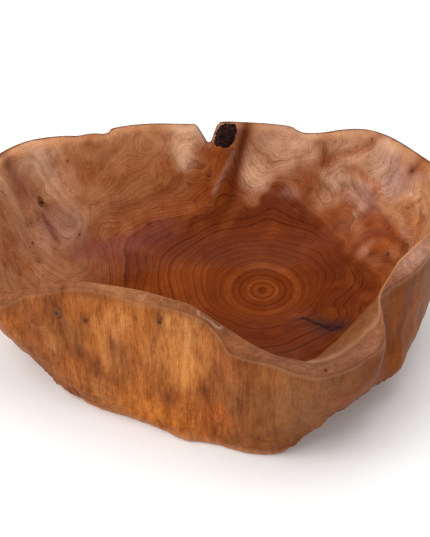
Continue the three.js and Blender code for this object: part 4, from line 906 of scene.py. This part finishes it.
def wood_material():
    G_ = Graph("varnished_root_wood")
    co = G_.coords()
    tone_, dark_ = G_.attr("tone", "Color"), G_.attr("dark")
    ringw_, streakw_, rimw_, heart_ = G_.attr("ringw"), G_.attr("streakw"), G_.attr("rimw"), G_.attr("heart")

    # ring number: exact circles near the pith, the interpolated figure further out
    flat = G_.vmath("MULTIPLY", G_.vmath("SUBTRACT", co, (PITH[0] / 1000, PITH[1] / 1000, 0)), (1000.0, 930.0, 0.0))
    d_ = G_.vmath("LENGTH", flat, out=1)
    ring_ = G_.math("ADD", G_.math("MULTIPLY", d_, G_.range(d_, 26, 46, 1.0, 0.0)), G_.math("MULTIPLY", G_.attr("ring"), G_.range(d_, 26, 46, 0.0, 1.0)))
    wob = G_.math("MULTIPLY", G_.math("SUBTRACT", G_.noise(co, 55, 3, 0.55), 0.5), 2.2)
    wob2 = G_.math("MULTIPLY", G_.math("SUBTRACT", G_.noise(co, 330, 2, 0.5), 0.5), 0.9)
    r = G_.math("ADD", G_.math("ADD", ring_, G_.math("MULTIPLY", wob, G_.range(d_, 4, 60, 0.15, 1.0))), wob2)

    def one_d(scale, detail=2.0):
        n = G_.t.nodes.new("ShaderNodeTexNoise")
        n.noise_dimensions = "1D"
        G_.put(n.inputs["W"], r)
        n.inputs["Scale"].default_value = scale
        n.inputs["Detail"].default_value = detail
        return n.outputs["Fac"]

    # late-wood lines of uneven spacing and strength
    uneven = G_.math("MULTIPLY", G_.math("SUBTRACT", one_d(0.09), 0.5), 8.0)
    f1 = G_.math("FRACT", G_.math("DIVIDE", G_.math("ADD", r, uneven), 5.2))
    line = G_.math("MULTIPLY", G_.math("ADD", G_.math("MULTIPLY", G_.math("POWER", f1, 7.0), 1.10), G_.math("MULTIPLY", G_.math("POWER", f1, 2.0), 0.24)), G_.range(f1, 1.0, 0.955, 0.0, 1.0))
    strength = G_.math("MULTIPLY", G_.range(one_d(0.20, 1.0), 0.36, 0.62, 0.42, 0.82), G_.math("MAXIMUM", G_.range(G_.noise(co, 34, 3, 0.55), 0.40, 0.62, 0.18, 0.62), G_.math("MULTIPLY", heart_, 0.85)))
    line = G_.math("MULTIPLY", line, strength)
    f2 = G_.math("FRACT", G_.math("DIVIDE", G_.math("ADD", r, G_.math("MULTIPLY", uneven, 0.3)), 1.45))
    fine = G_.math("MULTIPLY", G_.math("POWER", f2, 2.5), G_.range(heart_, 0.0, 1.0, 0.46, 0.42))
    lines = G_.math("MULTIPLY", G_.math("ADD", line, fine), ringw_)
    pale = G_.math("MULTIPLY", G_.range(f1, 0.0, 0.30, 1.0, 0.0), strength)
    pale = G_.math("MULTIPLY", pale, ringw_)
    bands = G_.range(one_d(0.075, 3.0), 0.34, 0.66, -1.0, 1.0)

    # tone of the growth zones around the pith
    ramp = G_.t.nodes.new("ShaderNodeValToRGB")
    e = ramp.color_ramp.elements
    stops = [(0, 0.10), (2.0, 0.16), (4.0, 0.50), (7.5, 0.72), (9.5, 0.62), (10.5, 0.34), (12.0, 0.80), (13.5, 0.70), (15.0, 0.32), (18.0, 0.42), (20.0, 0.24), (22.5, 0.40), (25.5, 0.28), (27.8, 0.58), (30.0, 0.80), (32.2, 0.70), (33.6, 0.34), (38, 0.48), (43, 0.40), (50, 0.5)]
    while len(e) < len(stops):
        e.new(0.5)
    for el, (x_, v_) in zip(e, stops):
        el.position = x_ / 50.0
        el.color = (v_, v_, v_, 1)
    G_.put(ramp.inputs[0], G_.math("DIVIDE", r, 50.0))
    zone = G_.math("SUBTRACT", ramp.outputs[0], 0.5)
    zone = G_.math("MULTIPLY", zone, G_.range(G_.noise(co, 60, 3, 0.6), 0.34, 0.62, 0.35, 1.15))
    zone = G_.math("MULTIPLY", zone, ringw_)

    # fibres that run up the wall
    s0 = G_.noise(G_.vmath("MULTIPLY", co, (1.0, 1.0, 0.32)), 70, 4, 0.55, 0.9)
    s1 = G_.noise(G_.vmath("MULTIPLY", co, (1.0, 1.0, 0.17)), 230, 4, 0.6, 0.7)
    s2 = G_.noise(G_.vmath("MULTIPLY", co, (1.0, 1.0, 0.16)), 620, 4, 0.65, 0.3)
    s3 = G_.noise(G_.vmath("MULTIPLY", co, (1.0, 1.0, 0.30)), 1500, 3, 0.6)
    streak = G_.math("ADD", G_.math("ADD", G_.math("MULTIPLY", s0, 0.22), G_.math("MULTIPLY", s1, 0.34)), G_.math("ADD", G_.math("MULTIPLY", s2, 0.30), G_.math("MULTIPLY", s3, 0.14)))
    dash = G_.range(G_.noise(G_.vmath("MULTIPLY", co, (1.0, 1.0, 0.22)), 240, 3, 0.55, 0.4), 0.64, 0.80)

    base = tone_
    # slow changes of tone that follow the rings
    base = G_.mix(G_.math("MULTIPLY", G_.range(bands, 0.0, 1.0), G_.math("MULTIPLY", ringw_, G_.range(heart_, 0.0, 1.0, 0.42, 0.22))), base, G_.mix(1.0, base, (0.66, 0.50, 0.40), "MULTIPLY"))
    base = G_.mix(G_.math("MULTIPLY", G_.range(bands, 0.0, -1.0), G_.math("MULTIPLY", ringw_, G_.range(heart_, 0.0, 1.0, 0.40, 0.24))), base, G_.mix(1.0, base, (1.28, 1.42, 1.60), "MULTIPLY"))
    base = G_.mix(G_.math("MULTIPLY", G_.math("MAXIMUM", zone, 0.0), 1.6), base, G_.mix(1.0, base, (1.55, 2.0, 2.8), "MULTIPLY"))
    base = G_.mix(G_.math("MULTIPLY", G_.math("MAXIMUM", G_.math("MULTIPLY", zone, -1.0), 0.0), 2.0), base, G_.mix(1.0, base, (0.55, 0.40, 0.35), "MULTIPLY"))
    base = G_.mix(G_.math("MULTIPLY", pale, 0.45), base, G_.mix(1.0, base, (1.22, 1.38, 1.60), "MULTIPLY"))
    base = G_.mix(G_.math("MULTIPLY", lines, 0.92), base, G_.mix(1.0, base, (0.30, 0.17, 0.13), "MULTIPLY"))
    # streaks
    sw = G_.math("MULTIPLY", streakw_, G_.range(streak, 0.50, 0.43))
    base = G_.mix(G_.math("MULTIPLY", sw, 0.66), base, G_.mix(1.0, base, (0.60, 0.43, 0.30), "MULTIPLY"))
    lightw = G_.math("MULTIPLY", streakw_, G_.range(streak, 0.505, 0.57))
    base = G_.mix(G_.math("MULTIPLY", lightw, 0.62), base, G_.mix(1.0, base, (1.36, 1.55, 1.80), "MULTIPLY"))
    base = G_.mix(G_.math("MULTIPLY", G_.math("MULTIPLY", dash, streakw_), 0.32), base, (0.105, 0.032, 0.010))
    # blotchy figure and fine pores
    blot = G_.noise(co, 80, 4, 0.6, 0.8)
    base = G_.mix(G_.range(blot, 0.40, 0.75, 0.0, 0.35), base, G_.mix(1.0, base, (0.70, 0.55, 0.44), "MULTIPLY"))
    pores = G_.range(G_.noise(G_.vmath("MULTIPLY", co, (1.0, 1.0, 0.3)), 1700, 2, 0.7), 0.60, 0.80)
    base = G_.mix(G_.math("MULTIPLY", pores, 0.26), base, G_.mix(1.0, base, (0.45, 0.32, 0.25), "MULTIPLY"))
    fleck = G_.noise(G_.vmath("MULTIPLY", co, (1.0, 1.0, 0.55)), 170, 4, 0.6, 1.4)
    base = G_.mix(G_.range(fleck, 0.54, 0.76, 0.0, 0.30), base, G_.mix(1.0, base, (1.25, 1.36, 1.52), "MULTIPLY"))

    # short pale and dark fibres everywhere
    f_a = G_.noise(G_.vmath("MULTIPLY", co, (1.0, 1.0, 0.5)), 620, 3, 0.65, 0.5)
    base = G_.mix(G_.range(f_a, 0.56, 0.70, 0.0, 0.42), base, G_.mix(1.0, base, (1.30, 1.42, 1.60), "MULTIPLY"))
    base = G_.mix(G_.range(f_a, 0.45, 0.31, 0.0, 0.50), base, G_.mix(1.0, base, (0.66, 0.53, 0.44), "MULTIPLY"))
    # pin knots: broken dark cores with a soft halo
    warp = G_.vmath("MULTIPLY", G_.vmath("SUBTRACT", G_.noise(co, 260, 4, 0.65, 0, "Color"), (0.5, 0.5, 0.5)), (0.0045, 0.0045, 0.0070))
    wco = G_.vmath("ADD", co, warp)

    def nearest(points, squash):
        kco = G_.vmath("MULTIPLY", wco, (1.0, 1.0, squash))
        best = None
        for x_, y_, z_, r_ in points:
            k_ = G_.vmath("DISTANCE", kco, (x_ / 1000, y_ / 1000, squash * z_ / 1000), 1)
            k_ = G_.math("DIVIDE", k_, r_ / 1000)
            best = k_ if best is None else G_.math("MINIMUM", best, k_)
        return best

    pin, smear = nearest(INNER_KNOTS, 0.75), nearest(OUTER_KNOTS, 0.38)
    broken = G_.range(G_.noise(G_.vmath("MULTIPLY", co, (1.0, 1.0, 0.4)), 520, 3, 0.6), 0.34, 0.56, 0.25, 1.0)
    core = G_.math("MAXIMUM", G_.math("MULTIPLY", G_.range(pin, 1.10, 0.25), 0.80), G_.math("MULTIPLY", G_.range(smear, 1.0, 0.10), G_.math("MULTIPLY", broken, 0.52)))
    halo = G_.math("MAXIMUM", G_.math("MULTIPLY", G_.range(pin, 3.6, 0.8), 0.35), G_.math("MULTIPLY", G_.range(smear, 2.4, 0.4), 0.34))
    base = G_.mix(halo, base, G_.mix(1.0, base, (0.58, 0.40, 0.32), "MULTIPLY"))
    base = G_.mix(core, base, (0.050, 0.017, 0.009))
    # dark marks, including painted shade in the rim fissure and along the back rim
    base = G_.mix(dark_, base, G_.mix(G_.range(G_.noise(co, 500, 3, 0.6), 0.3, 0.7), (0.020, 0.007, 0.006), (0.070, 0.020, 0.010)))

    # rim: sanded end grain with fine lines
    base = G_.mix(G_.math("MULTIPLY", rimw_, G_.range(G_.noise(G_.vmath("MULTIPLY", co, (0.45, 1.0, 1.0)), 520, 4, 0.7, 0.8), 0.42, 0.66, 0.0, 0.75)), base, G_.mix(1.0, base, (1.45, 1.60, 1.85), "MULTIPLY"))

    rough = G_.math("ADD", 0.44, G_.math("MULTIPLY", G_.math("SUBTRACT", G_.noise(co, 60, 3, 0.5), 0.5), 0.18))
    rough = G_.math("ADD", rough, G_.math("MULTIPLY", rimw_, 0.12))
    rough = G_.math("ADD", rough, G_.math("MULTIPLY", core, 0.20))
    rough = G_.math("ADD", rough, G_.math("MULTIPLY", dark_, 0.25), clamp=True)

    h = G_.math("MULTIPLY", G_.math("SUBTRACT", pale, lines), 0.40)
    h = G_.math("ADD", h, G_.math("MULTIPLY", G_.math("MULTIPLY", s1, streakw_), 0.9))
    h = G_.math("ADD", h, G_.math("MULTIPLY", G_.noise(co, 1300, 3, 0.6), 0.18))
    h = G_.math("SUBTRACT", h, G_.math("MULTIPLY", core, 1.0))
    n1 = G_.bump(h, 0.50, 0.00045)
    n2 = G_.bump(G_.noise(co, 62, 3, 0.5), 0.30, 0.0022, n1)
    return G_.finish(base, rough, n2, coat=0.03, coat_rough=0.22, spec=0.05)


bowl.data.materials.append(wood_material())
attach(bowl, "root")
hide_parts("bowl_body")


# =====================================================================================================
# 5. bark lump, check filler and encased knots
# =====================================================================================================
def blob_mesh(name, centre, half, rot_z=0.0, segs=96, rings=64, shape=None):
    """closed lump from a latitude grid; shape(unit points) returns a radius factor"""
    th = np.linspace(0, math.pi, rings + 1)[1:-1]
    ph = np.arange(segs) / segs * 2 * math.pi
    T, F = np.meshgrid(th, ph, indexing="ij")
    u = np.stack([np.sin(T) * np.cos(F), np.sin(T) * np.sin(F), np.cos(T)], -1).reshape(-1, 3)
    u = np.vstack([u, [[0, 0, 1]], [[0, 0, -1]]])
    k = np.ones(len(u)) if shape is None else shape(u)
    q = u * np.array(half) * k[:, None]
    c, s = math.cos(rot_z), math.sin(rot_z)
    q = np.c_[q[:, 0] * c - q[:, 1] * s, q[:, 0] * s + q[:, 1] * c, q[:, 2]] + np.array(centre)
    m = rings - 1
    i, j = np.meshgrid(np.arange(m - 1), np.arange(segs), indexing="ij")
    a = i * segs + j
    b = i * segs + (j + 1) % segs
    quads = np.stack([a, a + segs, b + segs, b], -1).reshape(-1, 4)
    jj = np.arange(segs)
    top_ = np.stack([np.full(segs, m * segs), jj, (jj + 1) % segs], 1)
    base = (m - 1) * segs
    bot = np.stack([np.full(segs, m * segs + 1), base + (jj + 1) % segs, base + jj], 1)
    return new_mesh(name, q / 1000.0, quads, np.vstack([top_, bot])), u


def bark_shape(u):
    boxy = (np.abs(u) ** 3.2).sum(1) ** (-1 / 3.2)
    k = boxy * 0.93 + 0.15 * fbm(u * 2.2 + 4, 3) + 0.12 * np.abs(fbm(u * 5.0 + 9, 3)) - 0.14 * np.abs(fbm(u * 9.0 + 1, 2))
    cell = fbm(u * 3.6 + 20, 2)
    return k - 0.10 * smooth(0.05, 0.0, np.abs(cell))


bark, bark_u = blob_mesh("bark_inclusion_lump", (11.6, 142.2, 116.8), (9.4, 4.3, 13.2), 0.05, 128, 96, bark_shape)
_bv = np.empty(len(bark.data.vertices) * 3)
bark.data.vertices.foreach_get("co", _bv)
_bv = _bv.reshape(-1, 3)
_bv[:, 0] -= 0.30 * (0.1172 - _bv[:, 2])
bark.data.vertices.foreach_set("co", _bv.reshape(-1))
bark.data.update()


def bark_material():
    g_ = Graph("old_bark")
    co = g_.coords()
    n1 = g_.noise(co, 260, 5, 0.65, 0.6)
    n2 = g_.noise(g_.vmath("MULTIPLY", co, (1, 1, 0.35)), 700, 4, 0.7)
    v = g_.voronoi(co, 420, "DISTANCE_TO_EDGE")
    col = g_.mix(g_.range(n1, 0.36, 0.66), (0.010, 0.005, 0.007), (0.068, 0.022, 0.016))
    col = g_.mix(g_.range(n2, 0.55, 0.75, 0.0, 0.6), col, (0.15, 0.062, 0.036))
    col = g_.mix(g_.range(v, 0.06, 0.0, 0.0, 0.8), col, (0.008, 0.005, 0.005))
    h = g_.math("ADD", g_.math("MULTIPLY", n1, 1.0), g_.math("MULTIPLY", g_.range(v, 0.0, 0.12), 0.6))
    nrm = g_.bump(h, 0.9, 0.0009)
    nrm = g_.bump(n2, 0.7, 0.0004, nrm)
    return g_.finish(col, g_.range(n1, 0.3, 0.7, 0.72, 0.95), nrm, spec=0.12)


bark.data.materials.append(bark_material())
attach(bark, "root")
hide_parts("bark_inclusion")


# the filled check in the floor: a thin crooked strip, lying in its groove
def strip(name, path, widths, height, depth, wob=0.0, across=9):
    path = np.array(path, float)
    n = 90
    tt = np.linspace(0, 1, n)
    seg_ = np.concatenate([[0], np.cumsum(np.linalg.norm(np.diff(path, axis=0), axis=1))])
    seg_ /= seg_[-1]
    c = np.stack([np.interp(tt, seg_, path[:, k]) for k in range(3)], 1)
    for _ in range(4):
        c[1:-1] = (c[:-2] + 2 * c[1:-1] + c[2:]) / 4
    d = np.gradient(c, axis=0)
    d[:, 2] = 0
    d /= np.linalg.norm(d, axis=1)[:, None]
    side = np.c_[-d[:, 1], d[:, 0], np.zeros(n)]
    c = c + side * (wob * perlin(np.c_[tt * 9, tt * 0 + 3.3, tt * 0 + 0.5]))[:, None]
    w_ = np.interp(tt, np.linspace(0, 1, len(widths)), widths) * (1 + 0.25 * perlin(np.c_[tt * 22, tt * 0 + 8.1, tt * 0]))
    ring_n = 2 * across
    pts = []
    for i in range(n):
        for k in range(ring_n):
            a = k / ring_n * 2 * math.pi
            y = math.cos(a) * w_[i] / 2
            zz = math.sin(a)
            zz = height * zz if zz > 0 else depth * zz
            pts.append(c[i] + side[i] * y + np.array([0, 0, zz * min(1.0, 6 * min(tt[i], 1 - tt[i]) + 0.15)]))
    pts = np.array(pts)
    pts[:, 2] += 0.12 * fbm(pts / 1.7, 2)
    m = n * ring_n
    pts = np.vstack([pts, [c[0] - d[0] * 0.4], [c[-1] + d[-1] * 0.4]])
    i, k = np.meshgrid(np.arange(n - 1), np.arange(ring_n), indexing="ij")
    a = i * ring_n + k
    b = i * ring_n + (k + 1) % ring_n
    quads = np.stack([a, a + ring_n, b + ring_n, b], -1).reshape(-1, 4)
    kk = np.arange(ring_n)
    t0 = np.stack([np.full(ring_n, m), kk, (kk + 1) % ring_n], 1)
    e = (n - 1) * ring_n
    t1 = np.stack([np.full(ring_n, m + 1), e + (kk + 1) % ring_n, e + kk], 1)
    return pts, quads, np.vstack([t0, t1])


def floor_at(x, y):
    d = (P[:, 0] - x) ** 2 + (P[:, 1] - y) ** 2 + 1e6 * (m_in < 0.5) + 1e6 * (P[:, 2] > 60)
    k = np.argsort(d)[:6]
    w_ = 1 / (d[k] + 0.3)
    return float((P[k, 2] * w_).sum() / w_.sum())


core_path = [(x_, y_, floor_at(x_, y_) + 0.45) for x_, y_, _ in [(76.0, 12.4, 0), (79.5, 11.4, 0), (83, 8.4, 0), (87.4, 4.0, 0), (93.0, 0.1, 0), (98.4, -3.0, 0), (103.4, -5.0, 0), (108, -5.1, 0)]]
pts, qd, tr = strip("check", core_path, [0.6, 1.1, 1.3, 1.5, 3.6, 7.6, 7.6, 1.8], 0.25, 1.6, 0.6)
check = new_mesh("floor_check_fill", pts / 1000.0, qd, tr)


def check_material():
    g_ = Graph("dark_check_filler")
    co = g_.coords()
    n1 = g_.noise(co, 420, 4, 0.6, 0.4)
    col = g_.mix(g_.range(n1, 0.35, 0.68), (0.013, 0.005, 0.007), (0.050, 0.013, 0.011))
    nrm = g_.bump(g_.noise(co, 900, 4, 0.6), 0.6, 0.0003)
    return g_.finish(col, g_.range(n1, 0.3, 0.7, 0.45, 0.7), nrm, coat=0.0, coat_rough=0.25, spec=0.05)


check.data.materials.append(check_material())
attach(check, "root")
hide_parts("floor_check_filler")

# encased knots: tapered stubs with an uneven, slightly domed and checked head
KNOTS = [("knot_outer_left", (-115.9, -82.6, 96.6), (-0.27, -0.96, -0.04), 3.6, 1.35), ("knot_outer_middle", (-93.7, -89.5, 94.1), (-0.35, -0.93, 0), 2.3, 1.3),
         ("knot_outer_front", (-37, -112.8, 112.3), (-0.26, -0.96, 0), 2.4, 1.75), ("knot_inner_left", (-145.7, 105, 73.5), (0.54, -0.73, 0.41), 3.2, 1.7),
         ("knot_rim_right", (83.3, -149.9, 96), (0.11, -0.48, 0.87), 1.6, 1.0)]


def knot_piece(name, at, out, radius, stretch, seed):
    at = np.array(at) + SHIFT
    n = np.array(out, float)
    n /= np.linalg.norm(n)
    # sit on the displaced surface
    d = np.linalg.norm(P - at, axis=1)
    k = np.argsort(d)[:12]
    at = at + n * float(((P[k] - at) @ n).mean())
    upv = np.array([0, 0, 1.0]) - n * n[2]
    upv /= np.linalg.norm(upv)
    right = np.cross(upv, n)
    segs = 72
    prof = []          # (radius factor, height)
    for s in np.linspace(0.06, 1.0, 16):
        prof.append((s * 0.94, 0.34 - 0.16 * s * s))
    prof += [(0.985, 0.06), (1.0, -0.25), (0.97, -0.8), (0.88, -1.6), (0.76, -2.6), (0.5, -3.0), (0.2, -3.05)]
    ph = np.arange(segs) / segs * 2 * math.pi
    outline = 1 + 0.10 * perlin(np.c_[np.cos(ph) * 1.4 + seed, np.sin(ph) * 1.4, np.zeros(segs)]) + 0.04 * perlin(np.c_[np.cos(ph) * 4 + seed, np.sin(ph) * 4, np.zeros(segs)])
    pts, rad = [], []
    for f, hgt in prof:
        x = np.cos(ph) * radius * f * outline
        y = np.sin(ph) * radius * f * outline * stretch
        hh = np.full(segs, hgt)
        if hgt > 0:
            crack = np.exp(-((np.sin(ph * 2.5 + seed + 1.3 * f) / 0.12) ** 2)) * smooth(1.0, 0.35, f) * 0.22
            hh = hh - crack + 0.06 * perlin(np.c_[x * 0.9 + seed, y * 0.9, np.zeros(segs)])
        pts.append(at + right * x[:, None] + upv * y[:, None] + n * hh[:, None])
        rad.append(np.full(segs, f if hgt > -0.3 else 1.0))
    m = len(prof)
    pts = np.vstack(pts + [[at + n * 0.30], [at - n * 3.05]])
    i, j = np.meshgrid(np.arange(m - 1), np.arange(segs), indexing="ij")
    a = i * segs + j
    b = i * segs + (j + 1) % segs
    quads = np.stack([a, a + segs, b + segs, b], -1).reshape(-1, 4)
    jj = np.arange(segs)
    t0 = np.stack([np.full(segs, m * segs), jj, (jj + 1) % segs], 1)
    e = (m - 1) * segs
    t1 = np.stack([np.full(segs, m * segs + 1), e + (jj + 1) % segs, e + jj], 1)
    ob = new_mesh(name + "_stub", pts / 1000.0, quads, np.vstack([t0, t1]))
    put(ob, "rad", np.concatenate([np.concatenate(rad), [0, 1]]))
    put(ob, "turn", np.concatenate([np.tile(ph, m), [0, 0]]))
    return ob


def knot_material():
    g_ = Graph("encased_knot")
    co = g_.coords()
    rad = g_.attr("rad")
    rw = g_.math("ADD", rad, g_.math("MULTIPLY", g_.math("SUBTRACT", g_.noise(co, 500, 3, 0.6), 0.5), 0.30))
    rings_ = g_.math("POWER", g_.math("FRACT", g_.math("MULTIPLY", rw, 4.5)), 2.5)
    col = g_.mix(g_.range(rw, 0.1, 1.0), (0.150, 0.045, 0.012), (0.190, 0.058, 0.013))
    col = g_.mix(g_.math("MULTIPLY", rings_, 0.55), col, (0.040, 0.013, 0.007))
    off = g_.noise(co, 330, 3, 0.6)
    col = g_.mix(g_.math("MULTIPLY", g_.range(off, 0.46, 0.60, 0.0, 0.85), g_.range(rw, 0.85, 0.45)), col, (0.034, 0.012, 0.007))
    col = g_.mix(g_.range(off, 0.46, 0.36, 0.0, 0.6), col, (0.24, 0.082, 0.026))
    col = g_.mix(g_.range(rw, 0.86, 1.0, 0.0, 0.35), col, (0.060, 0.020, 0.008))
    col = g_.mix(g_.range(g_.noise(co, 900, 4, 0.7), 0.56, 0.74, 0.0, 0.5), col, (0.20, 0.080, 0.036))
    nrm = g_.bump(g_.math("ADD", rings_, g_.noise(co, 1200, 3, 0.6)), 0.5, 0.00025)
    return g_.finish(col, g_.range(rw, 0.3, 1.0, 0.50, 0.75), nrm, coat=0.02, coat_rough=0.3, spec=0.10)


km = knot_material()
for s_, (name, at, out, radius, stretch) in enumerate(KNOTS):
    ob = knot_piece(name, at, out, radius, stretch, 3.7 * s_ + 1.1)
    ob.data.materials.append(km)
    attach(ob, "root")
    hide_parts(name)


# =====================================================================================================
# 6. studio: floor, lights, camera
# =====================================================================================================
me = bpy.data.meshes.new("studio_floor")
s_ = 6.0
me.from_pydata([(-s_, -s_, 0), (s_, -s_, 0), (s_, s_, 0), (-s_, s_, 0)], [], [(0, 1, 2, 3)])
floor = bpy.data.objects.new("studio_floor", me)
floor.location = (0, 0, -0.0004)
bpy.context.scene.collection.objects.link(floor)
fm = bpy.data.materials.new("pale_floor")
fm.use_nodes = True
fb = fm.node_tree.nodes["Principled BSDF"]
fb.inputs["Base Color"].default_value = (0.86, 0.86, 0.86, 1)
fb.inputs["Roughness"].default_value = 0.9
fb.inputs["Specular IOR Level"].default_value = 0.1
floor.data.materials.append(fm)
floor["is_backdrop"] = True

world = bpy.data.worlds.new("studio")
bpy.context.scene.world = world
world.use_nodes = True
bg = world.node_tree.nodes["Background"]
bg.inputs["Color"].default_value = (1.0, 1.0, 1.0, 1)
bg.inputs["Strength"].default_value = 0.62


def area(name, at, to, size, power, color=(1, 1, 1), size_y=None):
    la = bpy.data.lights.new(name, "AREA")
    la.energy = power
    la.size = size
    if size_y:
        la.shape = "RECTANGLE"
        la.size_y = size_y
    la.color = color
    ob = bpy.data.objects.new(name, la)
    ob.location = at
    v = np.array(to, float) - np.array(at, float)
    from mathutils import Vector
    ob.rotation_euler = Vector(v).to_track_quat("-Z", "Y").to_euler()
    bpy.context.scene.collection.objects.link(ob)
    return ob


area("key", (-1.1, -0.7, 1.6), (0, 0.02, 0.05), 1.5, 22, (1.0, 0.985, 0.96))
area("top", (0.2, 0.2, 1.9), (0, 0.0, 0.05), 1.4, 13)
area("front", (-0.3, -1.9, 0.7), (0, 0.05, 0.08), 0.9, 5, size_y=0.5)
area("back", (0.5, 1.9, 1.0), (0, 0.05, 0.05), 1.0, 9)
area("left_low", (-1.7, -0.3, 0.55), (0.1, 0.05, 0.08), 0.6, 6, size_y=0.5)

cam = bpy.data.cameras.new("camera")
cam.lens = 100.0
cam.sensor_width = 36.0
cam.sensor_fit = "AUTO"
cam.clip_start = 0.05
cam.clip_end = 30
cam.dof.use_dof = False
cob = bpy.data.objects.new("camera", cam)
elev = math.radians(36.0)
target = np.array([3.57, 41.0, 50.0]) / 1000.0
pos = target + 1.25 * np.array([0, -math.cos(elev), math.sin(elev)])
cob.location = pos
cob.rotation_euler = (math.radians(90.0) - elev, 0, 0)
bpy.context.scene.collection.objects.link(cob)
bpy.context.scene.camera = cob

vs = bpy.context.scene.view_settings
vs.view_transform = "Standard"
vs.look = "None"

bpy.context.view_layer.update()
VIS_BOX = [list(map(float, c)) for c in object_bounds()]
